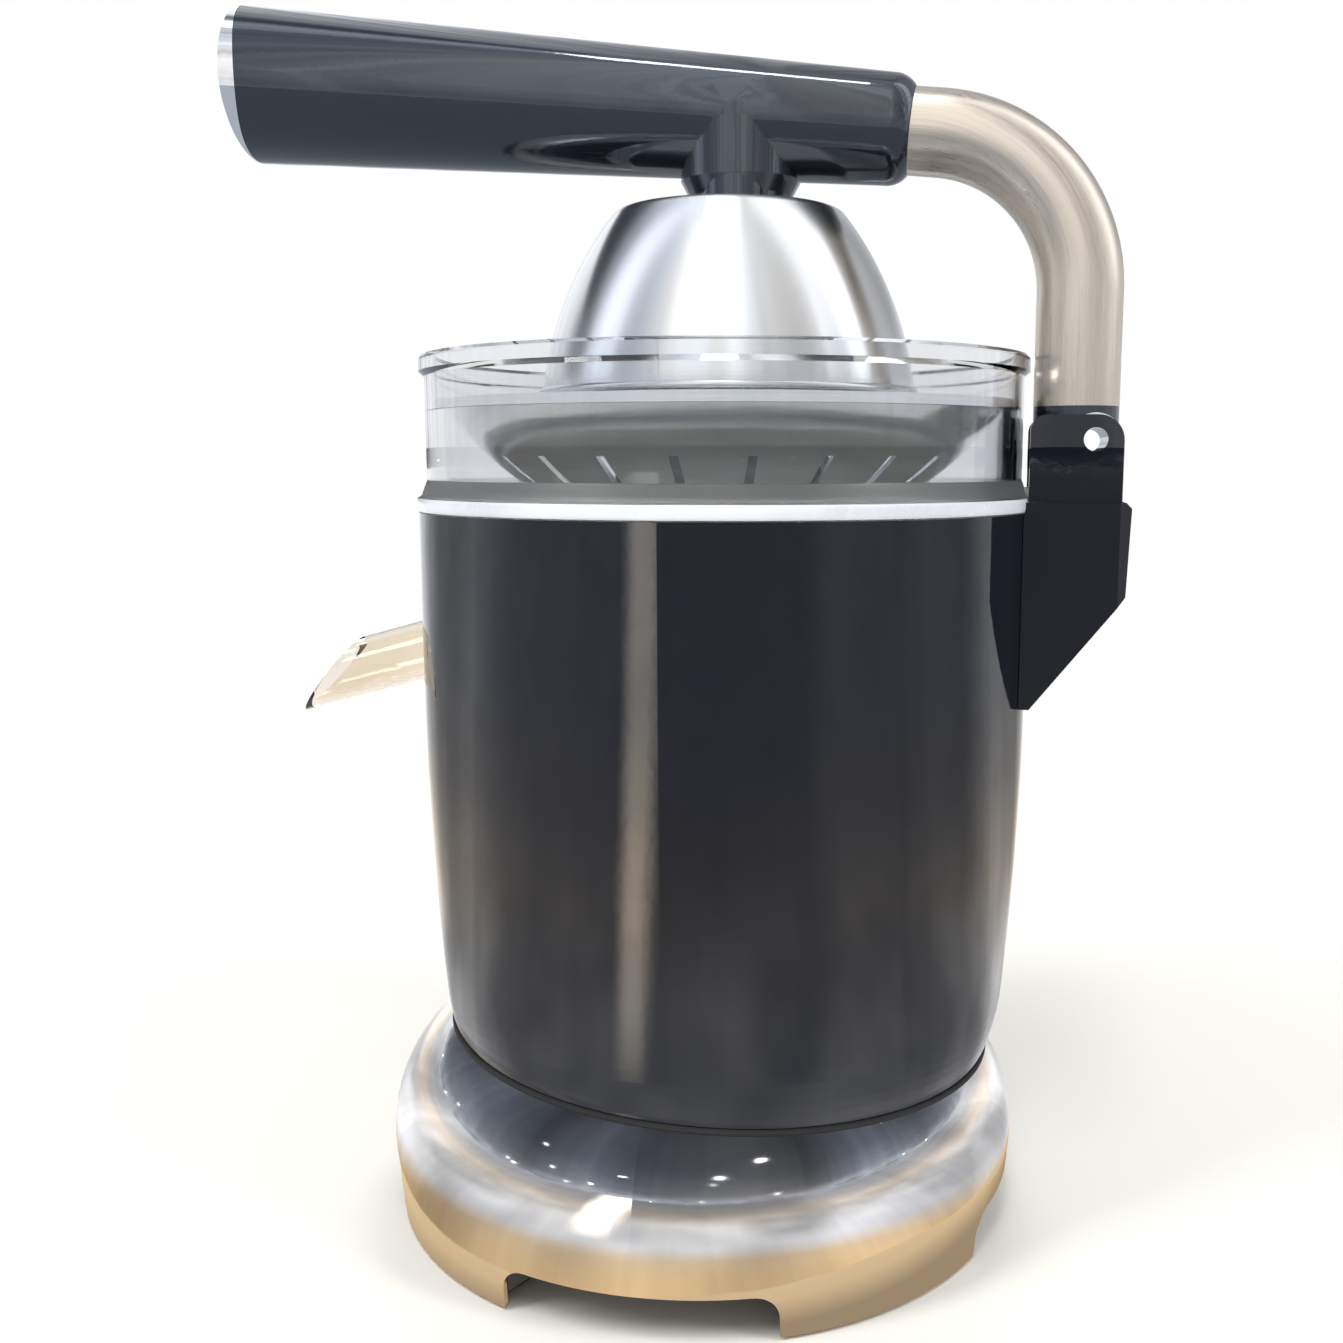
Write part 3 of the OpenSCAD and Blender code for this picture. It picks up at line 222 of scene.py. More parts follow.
# %% Group: mould grain
CLOUD_TO_PITS = 0.06
grain_group, given, made = start_group(
    "mould_grain",
    [("Vector", "NodeSocketVector", None), ("Scale", "NodeSocketFloat", 1500.0)],
    [("Height", "NodeSocketFloat"), ("Tone", "NodeSocketFloat")])
pits = add_node(grain_group, "ShaderNodeTexVoronoi", {"Vector": given["Vector"], "Scale": given["Scale"]},
                feature="SMOOTH_F1")
cloud_scale = math_node(grain_group, "MULTIPLY", given["Scale"], CLOUD_TO_PITS)
cloud = noise_node(grain_group, given["Vector"], cloud_scale, 5.0)
depth = math_node(grain_group, "MULTIPLY", pits.outputs["Distance"], math_node(grain_group, "ADD", cloud, 0.5))
grain_group.links.new(depth, made["Height"])
grain_group.links.new(cloud, made["Tone"])
print("group", grain_group.name, "nodes", len(grain_group.nodes))

# %% [markdown]
# Every finish starts with one Principled shader. What is the same all over the surface stays a constant on
# it, and tone, gloss and relief come from the groups and from noise.

# %% Helpers for finishes
finishes = {}


def start_finish(name, **constants):
    """A new finish: its tree, its Principled shader with the constants set, and Object coordinates."""
    material = bpy.data.materials.new(name)
    material.use_nodes = True
    finishes[name] = material
    tree = material.node_tree
    shader = tree.nodes["Principled BSDF"]
    for key, value in constants.items():
        shader.inputs[key.replace("_", " ")].default_value = value
    place = add_node(tree, "ShaderNodeTexCoord").outputs["Object"]
    print("finish", name)
    return tree, shader, place


def tint(tree, shader, factor, dark, light):
    """Base Color between a dark and a light tone."""
    tree.links.new(colour_mix(tree, factor, (*dark, 1), (*light, 1)), shader.inputs["Base Color"])


def relief(tree, shader, height, distance, strength):
    """Bump of a height in metres."""
    bump = add_node(tree, "ShaderNodeBump", {"Height": height, "Distance": distance, "Strength": strength})
    tree.links.new(bump.outputs["Normal"], shader.inputs["Normal"])


def rough_range(tree, shader, factor, low, high):
    """Roughness between two values."""
    tree.links.new(span_node(tree, factor, 0.0, 1.0, low, high), shader.inputs["Roughness"])


def turned_vector(tree, place, along, across):
    """Coordinates for lines round the vertical axis: they change along the profile, hardly round it."""
    x, y, z = split_node(tree, place)
    radius = length_node(tree, add_node(tree, "ShaderNodeCombineXYZ", {0: x, 1: y}).outputs[0])
    profile = math_node(tree, "SUBTRACT", z, radius)
    return add_node(tree, "ShaderNodeCombineXYZ",
                    {0: math_node(tree, "MULTIPLY", x, along),
                     1: math_node(tree, "MULTIPLY", y, along),
                     2: math_node(tree, "MULTIPLY", profile, across)}).outputs[0]


# %% [markdown]
# The base and the handle's cap are chromed and buffed to a mirror. A perfect mirror would look drawn: real
# plating has a very slow waviness that bends the reflections, and wiping leaves faint haze.

# %% Polished chrome
tree, shader, place = start_finish("polished_chrome", Metallic=1.0)
gloss = place_group(tree, gloss_group, {"Vector": place, "Patch Size": 22.0, "Smooth": 0.035, "Hazy": 0.11})
tree.links.new(gloss["Roughness"], shader.inputs["Roughness"])
tint(tree, shader, gloss["Patch"], (0.80, 0.80, 0.82), (0.74, 0.735, 0.73))
relief(tree, shader, noise_node(tree, place, 45.0, 1.0), 0.0006, 0.25)

# %% [markdown]
# The drum is sprayed a blue-black and baked to a deep gloss, and the grip is moulded in gloss black.
# Lacquer keeps a fine orange-peel surface and a hint of pigment, and the reflections do the rest. The grip's
# reflections also carry a painted cool blue tint.

# %% Body lacquer and gloss black
for name, dark, light, peel, shine, cast in (
        ("body_lacquer", (0.005, 0.006, 0.010), (0.009, 0.011, 0.018), 330.0, 0.6, (1.0, 1.0, 1.0, 1)),
        # The gloss black row's Specular Tint is a painted blue cast in the grip's reflections.
        ("gloss_black", (0.008, 0.010, 0.015), (0.013, 0.015, 0.022), 420.0, 0.85, (0.84, 0.92, 1.0, 1))):
    tree, shader, place = start_finish(name, IOR=1.5, Specular_IOR_Level=shine, Specular_Tint=cast)
    gloss = place_group(tree, gloss_group,
                        {"Vector": place, "Patch Size": 26.0, "Smooth": 0.035, "Hazy": 0.12})
    tree.links.new(gloss["Roughness"], shader.inputs["Roughness"])
    tint(tree, shader, noise_node(tree, place, 2600.0, 1.0), dark, light)
    relief(tree, shader, noise_node(tree, place, peel, 1.5), 0.00004, 0.35)

# %% [markdown]
# The dome is spun from stainless sheet and brushed on the lathe, so its lines run round the axis and light
# smears into upright bands. An anisotropic shader could do it alone, but real lines show up close, so both
# are used.

# %% Brushed dome
tree, shader, place = start_finish("brushed_dome", Metallic=1.0, Anisotropic=0.8, Anisotropic_Rotation=0.25)
brush = place_group(tree, brush_group, {"Vector": turned_vector(tree, place, 6.0, 9000.0)})
tint(tree, shader, brush["Streak"], (0.70, 0.70, 0.705), (0.74, 0.74, 0.74))
rough_range(tree, shader, brush["Streak"], 0.20, 0.25)
relief(tree, shader, brush["Height"], 0.000008, 0.2)
round_axis = add_node(tree, "ShaderNodeTangent", direction_type="RADIAL", axis="Z")
tree.links.new(round_axis.outputs[0], shader.inputs["Tangent"])

# %% [markdown]
# The arm is drawn tube, brushed along its length before bending, so the lines follow the bend. A point's
# distance from the bend's inner corner, seen from the side, stays the same along a line: that is what the
# noise reads, with the distance across the tube.

# %% Brushed tube
ARM_BEND_RADIUS, GRIP_TILT = 0.041, math.radians(6)
LINES_ACROSS, LINES_ALONG = 900.0, 25.0
arm_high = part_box("arm_tube")[1]
arm_radius = arm_high.x
bend_y = arm_high.y - arm_radius - ARM_BEND_RADIUS
bend_z = arm_high.z - arm_radius - ARM_BEND_RADIUS

tree, shader, place = start_finish("brushed_tube", Metallic=1.0)
x, y, z = split_node(tree, place)
behind = math_node(tree, "SUBTRACT", y, bend_y)
above = math_node(tree, "SUBTRACT", z, bend_z)
leant = math_node(tree, "ADD", math_node(tree, "MULTIPLY", above, math.cos(GRIP_TILT)),
                  math_node(tree, "MULTIPLY", behind, math.sin(GRIP_TILT)))
corner = add_node(tree, "ShaderNodeCombineXYZ", {0: math_node(tree, "MAXIMUM", behind, 0.0),
                                                 1: math_node(tree, "MAXIMUM", leant, 0.0)})
offset = length_node(tree, corner.outputs[0])
across = add_node(tree, "ShaderNodeCombineXYZ", {0: math_node(tree, "MULTIPLY", x, LINES_ACROSS),
                                                 1: math_node(tree, "MULTIPLY", offset, LINES_ACROSS),
                                                 2: math_node(tree, "MULTIPLY", z, LINES_ALONG)})
brush = place_group(tree, brush_group, {"Vector": across.outputs[0]})
# The tan of the steel is a painted warm cast: it stands in for warm light round the tube.
tint(tree, shader, brush["Streak"], (0.51, 0.45, 0.38), (0.68, 0.61, 0.53))
rough_range(tree, shader, brush["Streak"], 0.24, 0.38)
relief(tree, shader, brush["Height"], 0.00008, 0.4)
print("bend centre", round(bend_y, 4), round(bend_z, 4))

# %% [markdown]
# The strainer is pressed from thinner steel, and it sits in shade, so it looks darker than the dome. Its tone
# is painted paler than the dome's, to make up for that shade. Screws, shafts and pins are turned. Both kinds
# show lines round an upright axis.

# %% Strainer steel and turned steel
for name, dark, light, along, across, low, high in (
        # The strainer's pale tone is painted light against the shade it sits in.
        ("strainer_steel", (0.80, 0.805, 0.82), (0.88, 0.885, 0.90), 10.0, 2400.0, 0.14, 0.22),
        ("bright_steel", (0.50, 0.50, 0.51), (0.66, 0.66, 0.66), 60.0, 5200.0, 0.18, 0.32)):
    tree, shader, place = start_finish(name, Metallic=1.0)
    brush = place_group(tree, brush_group, {"Vector": turned_vector(tree, place, along, across)})
    tint(tree, shader, brush["Streak"], dark, light)
    rough_range(tree, shader, brush["Streak"], low, high)
    relief(tree, shader, brush["Height"], 0.00002, 0.2)

# %% [markdown]
# The bowl and the spout are moulded in clear plastic. Its index is that of styrene acrylic, moulding leaves
# slow flow ripples, and washing leaves a light haze. The spout stands over warm light, and its tan tint is
# painted warm light.
# The bowl's flange could be a part of its own, but it is moulded with the bowl and left frosted, so the
# gloss changes by height. Its edge is frosted, and its opaque white finish is a painted highlight.

# %% Clear plastic
FLANGE_HIGH, FLANGE_FADE, FLANGE_FROST = 0.0080, 0.0008, 0.45
FLOW_RIPPLES = (30, 30, 90)
body_low, body_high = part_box("body_shell")
flange_top = body_high.z + FLANGE_HIGH
for name, clean, hazy, passes, smooth, dull in (
        ("clear_plastic", (0.825, 0.84, 0.865), (0.765, 0.78, 0.805), 1.0, 0.01, 0.06),
        # The spout's row has a tan tint: painted warm light.
        ("clear_spout_painted_warm", (0.93, 0.86, 0.76), (0.88, 0.80, 0.69), 1.0, 0.01, 0.06),
        # The last row is opaque and pale: a painted highlight on the flange's frosted edge.
        ("frosted_edge_glint", (0.80, 0.82, 0.87), (0.60, 0.62, 0.67), 0.0, 0.12, 0.35)):
    tree, shader, place = start_finish(name, IOR=1.5, Transmission_Weight=passes)
    gloss = place_group(tree, gloss_group,
                        {"Vector": place, "Patch Size": 30.0, "Smooth": smooth, "Hazy": dull})
    roughness = gloss["Roughness"]
    if name == "clear_plastic":
        level = split_node(tree, place)[2]
        frost = span_node(tree, level, flange_top + FLANGE_FADE, flange_top, 0.0, FLANGE_FROST)
        roughness = math_node(tree, "MAXIMUM", roughness, frost)
    tree.links.new(roughness, shader.inputs["Roughness"])
    tint(tree, shader, gloss["Patch"], clean, hazy)
    rippled = add_node(tree, "ShaderNodeMapping", {"Vector": place, "Scale": FLOW_RIPPLES}).outputs["Vector"]
    relief(tree, shader, noise_node(tree, rippled, 1.0, 1.0), 0.0004, 0.15)

# %% [markdown]
# Plastics, rubber and castings share the mould grain. Each has its own scale, tone and gloss, so one table
# holds them all.

# %% Moulded and cast finishes
MOULDED = {  # dark and light tone, grain scale, its depth in metres, low and high roughness, constants
    "black_rubber": ((0.014, 0.014, 0.014), (0.03, 0.03, 0.03), 900.0, 0.00012, 0.65, 0.85, {}),
    "grey_plastic": ((0.075, 0.076, 0.08), (0.11, 0.112, 0.118), 1600.0, 0.00006, 0.42, 0.6, {}),
    "nylon": ((0.72, 0.70, 0.63), (0.82, 0.80, 0.74), 1300.0, 0.00005, 0.32, 0.5,
              {"Subsurface_Weight": 0.15}),
    "reamer_plastic": ((0.045, 0.046, 0.05), (0.065, 0.066, 0.07), 1900.0, 0.00003, 0.2, 0.34, {}),
    "switch_plastic": ((0.29, 0.03, 0.022), (0.38, 0.045, 0.03), 1700.0, 0.00004, 0.34, 0.5, {}),
    "die_cast": ((0.42, 0.42, 0.43), (0.56, 0.56, 0.57), 700.0, 0.00015, 0.38, 0.58, {"Metallic": 1.0}),
    "bronze": ((0.45, 0.29, 0.12), (0.66, 0.46, 0.22), 2200.0, 0.00004, 0.3, 0.48, {"Metallic": 1.0}),
}
for name, (dark, light, scale, depth, low, high, constants) in MOULDED.items():
    tree, shader, place = start_finish(name, **constants)
    grain = place_group(tree, grain_group, {"Vector": place, "Scale": scale})
    tint(tree, shader, grain["Tone"], dark, light)
    rough_range(tree, shader, grain["Tone"], low, high)
    relief(tree, shader, grain["Height"], depth, 0.6)

# %% [markdown]
# The motor's iron is a stack of half-millimetre sheets, which shows as fine level lines, and its coils are
# enamelled copper laid turn on turn. A wave texture would do, but a sine of the height takes the pitch
# straight in metres.

# %% Iron and copper
for name, dark, light, pitch, depth, low, high in (
        ("laminated_iron", (0.13, 0.13, 0.135), (0.27, 0.27, 0.28), 0.0006, 0.0001, 0.35, 0.55),
        ("copper_coil", (0.34, 0.13, 0.045), (0.62, 0.27, 0.11), 0.0009, 0.0003, 0.2, 0.34)):
    tree, shader, place = start_finish(name, Metallic=1.0)
    level = split_node(tree, place)[2]
    turns = math_node(tree, "SINE", math_node(tree, "MULTIPLY", level, 2 * math.pi / pitch))
    shade = math_node(tree, "ADD", math_node(tree, "MULTIPLY", turns, 0.5), 0.5)
    tint(tree, shader, shade, dark, light)
    rough_range(tree, shader, shade, low, high)
    relief(tree, shader, shade, depth, 0.5)

# %% [markdown]
# Every solid takes the finish of the material slot that its record names. Two slots are split: the dome is
# brushed round its axis and the tube along its length, and the spout's clear plastic carries a painted warm
# tint.

# %% Give the solids their finishes
OWN_FINISH = {"arm_tube": "brushed_tube", "press_dome": "brushed_dome", "spout": "clear_spout_painted_warm"}
for row in frame["record"]["subparts"]:
    finish = OWN_FINISH.get(row["node"], row["material_slot"])
    mesh = nodes[row["node"]].data
    mesh.materials.clear()
    mesh.materials.append(finishes[finish])

# %% [markdown]
# The small trim comes last, and most of it is round. A torus primitive would do for a plain ring, but a
# section that is spun about an axis can be oval, so a helper adds a ring of points, flattens it in edit
# mode and spins it.

# %% Helpers for the trim
MERGE_DISTANCE = 1e-6
SMOOTH_ANGLE = math.radians(50)


def add_section(name, place, half_wide, half_high, points=16):
    """An oval ring of points in the upright plane through the X axis, ready to be spun or wound."""
    bpy.ops.object.select_all(action="DESELECT")
    bpy.ops.mesh.primitive_circle_add(vertices=points, radius=half_wide, location=place,
                                      rotation=(math.pi / 2, 0, 0))
    section = bpy.context.object
    section.name = name
    bpy.ops.object.transform_apply(location=True, rotation=True, scale=True)
    bpy.ops.object.mode_set(mode="EDIT")
    bpy.ops.mesh.select_all(action="SELECT")
    bpy.ops.transform.resize(value=(1, 1, half_high / half_wide), center_override=place)
    bpy.ops.object.mode_set(mode="OBJECT")
    return section


def close_up():
    """In edit mode: merges what meets, fills open ends and turns faces outwards. Then smooths the shading."""
    bpy.ops.mesh.select_all(action="SELECT")
    bpy.ops.mesh.remove_doubles(threshold=MERGE_DISTANCE)
    bpy.ops.mesh.fill_holes(sides=0)
    bpy.ops.mesh.select_all(action="SELECT")
    bpy.ops.mesh.normals_make_consistent(inside=False)
    bpy.ops.object.mode_set(mode="OBJECT")
    bpy.ops.object.shade_smooth_by_angle(angle=SMOOTH_ANGLE)


def spun_bead(name, place, half_wide, half_high, centre, steps):
    """A closed bead: an oval section spun once round an upright axis."""
    bead = add_section(name, place, half_wide, half_high)
    bpy.ops.object.mode_set(mode="EDIT")
    bpy.ops.mesh.select_all(action="SELECT")
    bpy.ops.mesh.spin(steps=steps, angle=2 * math.pi, center=centre, axis=(0, 0, 1))
    close_up()
    return bead


def fit_piece(piece, body, finish):
    """Gives a piece its finish and the body that it moves with."""
    piece.data.materials.clear()
    piece.data.materials.append(finishes[finish])
    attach(piece, body)
    print("piece", piece.name, "faces", len(piece.data.polygons), "on", body)


# %% [markdown]
# A sheet-metal dome has no raw edge: its rim is rolled into a hem, which stiffens it and is safe to touch.
# Rolling the dome's own mesh isn't open to us, as a solid is never changed, so the hem is one oval bead,
# spun round the dome's own axis.

# %% Dome hem
HEM_WIDE, HEM_HIGH, HEM_IN, HEM_STEPS = 0.0010, 0.0012, 0.0006, 120
dome_low, dome_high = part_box("press_dome")
dome_y = (dome_low.y + dome_high.y) / 2
hem = spun_bead("dome_hem", (dome_high.x - HEM_IN, dome_y, dome_low.z + HEM_HIGH), HEM_WIDE, HEM_HIGH,
                (0, dome_y, 0), HEM_STEPS)
fit_piece(hem, "lever", "bright_steel")

# %% [markdown]
# The edge of the bowl's flange catches the light all the way round. A paler finish could mark it, but the
# real edge is rounded, so it is a shallow band, spun on the flange's edge and sunk a little into it. Its
# opaque pale finish is a painted highlight on the frosted edge.

# %% Flange band
BAND_HALF_WIDE, BAND_HALF_HIGH, BAND_LIFT, BAND_SUNK, BAND_STEPS = 0.00035, 0.0017, 0.0021, 0.00012, 240
band_radius = body_high.x + BAND_HALF_WIDE - BAND_SUNK
band = spun_bead("flange_band", (band_radius, 0, body_high.z + BAND_LIFT), BAND_HALF_WIDE, BAND_HALF_HIGH,
                 (0, 0, 0), BAND_STEPS)
# The band's opaque pale finish is a painted highlight.
fit_piece(band, "housing", "frosted_edge_glint")

# %% [markdown]
# The return spring is wound from round wire. The solid only stands for it with flat facets, so a fine one
# replaces it: one ring of points, wound up by a Screw modifier.

# %% Return spring
WIRE_RADIUS, WIRE_POINTS, SPRING_TURNS, TURN_STEPS, PRESS_TRAVEL = 0.0007, 12, 6, 36, 0.002
spring_low, spring_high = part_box("return_spring")
spring_tall = spring_high.z - spring_low.z
spring = add_section("wound_spring", (spring_high.x - WIRE_RADIUS, 0, spring_low.z + WIRE_RADIUS),
                     WIRE_RADIUS, WIRE_RADIUS, WIRE_POINTS)
winding = spring.modifiers.new("winding", "SCREW")
winding.axis = "Z"
winding.iterations = SPRING_TURNS
winding.screw_offset = (spring_tall - 2 * WIRE_RADIUS) / SPRING_TURNS
winding.steps = winding.render_steps = TURN_STEPS
bpy.ops.object.modifier_apply(modifier=winding.name)
bpy.ops.object.mode_set(mode="EDIT")
close_up()
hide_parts("return_spring")
fit_piece(spring, "housing", "bright_steel")
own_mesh(spring)

# %% [markdown]
# A soft gasket fills the joint where the drum sinks into the domed base. The base stands off centre under
# the drum, so the joint isn't level and a plain ring won't lie in it. A ring is dropped onto the base and
# pulled against the drum with Shrinkwrap, twice over, and then given its round section as a curve.

# %% Base gasket
GASKET_RADIUS, RING_POINTS, RING_IN, RING_UP = 0.0009, 240, 0.002, 0.04
PULLS = (("base_shell", "PROJECT"), ("body_shell", "NEAREST_SURFACEPOINT")) * 2
bpy.ops.object.select_all(action="DESELECT")
bpy.ops.mesh.primitive_circle_add(vertices=RING_POINTS, radius=body_high.x - RING_IN,
                                  location=(0, 0, body_low.z + RING_UP))
gasket = bpy.context.object
gasket.name = "base_gasket"
bpy.ops.object.transform_apply(location=True, rotation=True, scale=True)
for step, (target, method) in enumerate(PULLS):
    pull = gasket.modifiers.new("pull_%d" % step, "SHRINKWRAP")
    pull.target = nodes[target]
    pull.wrap_method = method
    if method == "PROJECT":
        pull.use_project_z = True
        pull.use_negative_direction = True
        pull.use_positive_direction = True
    bpy.ops.object.modifier_apply(modifier=pull.name)
bpy.ops.object.convert(target="CURVE")
gasket = bpy.context.object
gasket.data.bevel_depth = GASKET_RADIUS
gasket.data.bevel_resolution = 3
bpy.ops.object.convert(target="MESH")
gasket = bpy.context.object
bpy.ops.object.mode_set(mode="EDIT")
close_up()
fit_piece(gasket, "housing", "black_rubber")
heights = [point.co.z * 1000 for point in gasket.data.vertices]
print("gasket from", round(min(heights), 1), "to", round(max(heights), 1), "mm high")

# %% [markdown]
# The studio is a pale floor that runs out to white in a white room. A large sheet curved up behind would
# do, but it would show an edge in some views, so the floor simply fades to the room's white. Metal and
# clear plastic see the same white as the camera.

# %% Floor and room
FLOOR_RADIUS, FLOOR_DROP = 6, 0.0002
WHITE = (1, 1, 1, 1)


def stage_material(name):
    """A material without a Principled shader, its tree and the input of its output node."""
    material = bpy.data.materials.new(name)
    material.use_nodes = True
    tree = material.node_tree
    tree.nodes.remove(tree.nodes["Principled BSDF"])
    return material, tree, tree.nodes["Material Output"].inputs["Surface"]


bpy.ops.object.select_all(action="DESELECT")
bpy.ops.mesh.primitive_circle_add(vertices=96, radius=FLOOR_RADIUS, fill_type="NGON",
                                  location=(0, 0, cad_low.z - FLOOR_DROP))
floor = bpy.context.object
floor.name = "floor"
floor_paint, tree, surface = stage_material("floor_paint")
reach = length_node(tree, add_node(tree, "ShaderNodeTexCoord").outputs["Object"])
fade = span_node(tree, reach, 0.16, 0.6, interpolation_type="SMOOTHSTEP")
paint = add_node(tree, "ShaderNodeBsdfDiffuse", {"Color": (0.85, 0.825, 0.775, 1)}).outputs[0]
white = add_node(tree, "ShaderNodeEmission", {"Color": WHITE, "Strength": 1.0}).outputs[0]
tree.links.new(add_node(tree, "ShaderNodeMixShader", {0: fade, 1: paint, 2: white}).outputs[0], surface)
floor.data.materials.append(floor_paint)

world = bpy.data.worlds.new("white_room")
bpy.context.scene.world = world
world.use_nodes = True
tree = world.node_tree
room = tree.nodes["Background"]
room.inputs["Color"].default_value = (0.94, 0.97, 1.0, 1)
room.inputs["Strength"].default_value = 0.55
white = add_node(tree, "ShaderNodeBackground", {"Color": WHITE, "Strength": 1.0}).outputs[0]
rays = add_node(tree, "ShaderNodeLightPath").outputs
seen = math_node(tree, "MAXIMUM", rays["Is Camera Ray"],
                 math_node(tree, "MAXIMUM", rays["Is Glossy Ray"], rays["Is Transmission Ray"]))
choose = add_node(tree, "ShaderNodeMixShader", {0: seen, 1: room.outputs[0], 2: white})
tree.links.new(choose.outputs[0], tree.nodes["World Output"].inputs["Surface"])
print("floor and room made")

# %% [markdown]
# Polished things show only what stands round them. More lamps would only add spots, so screens ring the
# object, as in a light tent: a warm mat under it, a low screen painted in upright dark and pale bands for
# the drum and the chrome, a dim lid with small lights over that one, and a high screen with grey bands for
# the dome. They shape reflections only: the camera looks through them.

# %% Tables for the screens
# Bands: turn from the camera in degrees, brightness, warmth. Rises: share of the height, colour.
LOW_BANDS = [
    (-180, 0.20, 0), (-150, 0.42, 0), (-122, 0.15, 0), (-108, 0.17, 0), (-96, 0.30, 0), (-76, 0.17, 0),
    (-56, 0.15, 0), (-33, 0.13, 0), (-29, 1.0, 1.4), (-25.5, 1.0, 1.4), (-22, 0.09, 0), (0, 0.09, 0),
    (26, 0.10, 0), (36, 0.17, 0), (58, 0.13, 0), (72, 0.17, 0), (88, 0.12, 0), (106, 0.30, 0),
    (130, 0.12, 0), (158, 0.40, 0), (180, 0.20, 0)]
HIGH_BANDS = [
    (-180, 0.22, 0), (-150, 0.36, 0), (-128, 0.30, 0), (-116, 0.06, -1), (-104, 0.07, -1),
    (-92, 0.46, -0.8), (-80, 0.44, -0.8), (-73, 0.18, -0.8), (-56, 0.20, -0.6), (-44, 0.30, 0.5),
    (-34, 0.46, 0.6), (-18, 0.46, 0), (-10, 0.34, 0.8), (0, 0.46, 0.8), (10, 0.42, 0), (20, 0.26, 0.4),
    (44, 0.19, 0.6), (58, 0.22, 0.5), (63, 0.40, 0.4), (70, 0.40, 0), (76, 0.26, 0), (85, 0.70, 0),
    (96, 0.66, 0), (106, 0.20, 0), (140, 0.12, 0), (180, 0.22, 0)]
LID_BANDS = [
    (-180, 1.0, 0), (-130, 0.6, 0), (-95, 1.5, 0), (-60, 0.6, 0), (-40, 1.3, 0), (-20, 0.7, 0), (15, 1.0, 1),
    (35, 0.55, 1), (60, 1.4, 0), (85, 0.7, 0), (120, 1.5, 0), (150, 0.7, 0), (180, 1.0, 0)]
EVEN = [(-180, 1.0, 0), (180, 1.0, 0)]
LOW_RISE = [
    (0.0, (0.80, 0.56, 0.30)), (0.022, (0.82, 0.62, 0.40)), (0.05, (0.95, 0.95, 0.97)),
    (0.12, (0.90, 0.88, 0.86)), (0.20, (0.70, 0.62, 0.53)), (0.32, (0.47, 0.44, 0.41)),
    (0.5, (0.39, 0.396, 0.41)), (1.0, (0.39, 0.396, 0.41))]
PLAIN_RISE = [(0.0, (0.95, 0.95, 0.97))] + LOW_RISE[2:]
HIGH_RISE = [(0.0, (0.63, 0.645, 0.67)), (0.7, (0.87, 0.90, 0.95)), (1.0, (0.87, 0.90, 0.95))]
MAT_RISE = [
    (0.0, (0.30, 0.22, 0.14)), (0.68, (0.42, 0.31, 0.19)), (0.76, (0.80, 0.58, 0.34)),
    (0.88, (0.95, 0.70, 0.43)), (1.0, (0.98, 0.80, 0.56))]
LID_RISE = [
    (0.0, (0.50, 0.52, 0.56)), (0.3, (0.22, 0.235, 0.27)), (0.65, (0.10, 0.11, 0.135)),
    (1.0, (0.05, 0.055, 0.065))]
SCREENS = [  # name, bands, level below them, rise, size, strength, uneven, comb
    # A size is the lower radius, the upper radius, the height and the lower edge.
    ("mat_screen", EVEN, 1.0, MAT_RISE, (0.02, 0.12, 0.0005, 0.0001), 1.0, 0.1, 0.0),
    ("low_screen", LOW_BANDS, 0.125, LOW_RISE, (0.10, 0.72, 0.2, 0.001), 7.5, 0.4, 0.04),
    ("lid_screen", LID_BANDS, 1.0, LID_RISE, (0.72, 0.09, 0.01, 0.2015), 1.0, 0.3, 0.08),
    ("high_screen", HIGH_BANDS, 0.3, HIGH_RISE, (0.95, 0.20, 1.3, 0.20), 4.6, 0.1, 0.3),
]
print("screens planned:", len(SCREENS))

# %% [markdown]
# A room is never as even as a painted table. Broad patches and fine upright lines loosen the bands. The low
# screen's warm foot is the worktop that the chrome feet mirror, so only what stands close to it sees it
# warm. The lid carries small ceiling lights on its underside and is plain above.

# %% Helpers for the screens
WARM_RED, WARM_BLUE = 0.06, 0.09
WARM_NEAR, WARM_FAR = 0.035, 0.055
CALM_FROM, CALM_FULL, CALM_SHARE = 0.08, 0.26, 0.2
LID_LIGHTS, LIGHT_CORE, LIGHT_EDGE = 9.0, 0.04, 0.1
LID_TOP = (0.48, 0.52, 0.58, 1)


def colour_ramp(tree, factor, rows):
    """A colour ramp from rows of position and colour."""
    ramp = add_node(tree, "ShaderNodeValToRGB", {0: factor})
    stops = ramp.color_ramp.elements
    while len(stops) < len(rows):
        stops.new(0.5)
    for stop, (position, colour) in zip(stops, rows):
        stop.position = position
        stop.color = (*colour, 1)
    return ramp.outputs["Color"]


def band_rows(bands):
    """Bands by turn as rows of a colour ramp: warmth lifts the red and lowers the blue."""
    return [((turn + 180) / 360, (level * (1 + WARM_RED * warm), level, level * (1 - WARM_BLUE * warm)))
            for turn, level, warm in bands]


def multiplied(tree, a, b):
    """Two colours, or a colour and a number, multiplied."""
    return add_node(tree, "ShaderNodeVectorMath", {0: a, 1: b}, operation="MULTIPLY").outputs[0]


def patches(tree, place, rise, uneven):
    """A factor near one: broad patches, which grow faint up the screen."""
    patchy = span_node(tree, noise_node(tree, place, 9.0, 2.0, Roughness=0.55), 0.36, 0.64, -1.0, 1.0)
    calm = span_node(tree, rise, CALM_FROM, CALM_FULL, uneven, CALM_SHARE * uneven)
    return math_node(tree, "ADD", math_node(tree, "MULTIPLY", patchy, calm), 1.0)


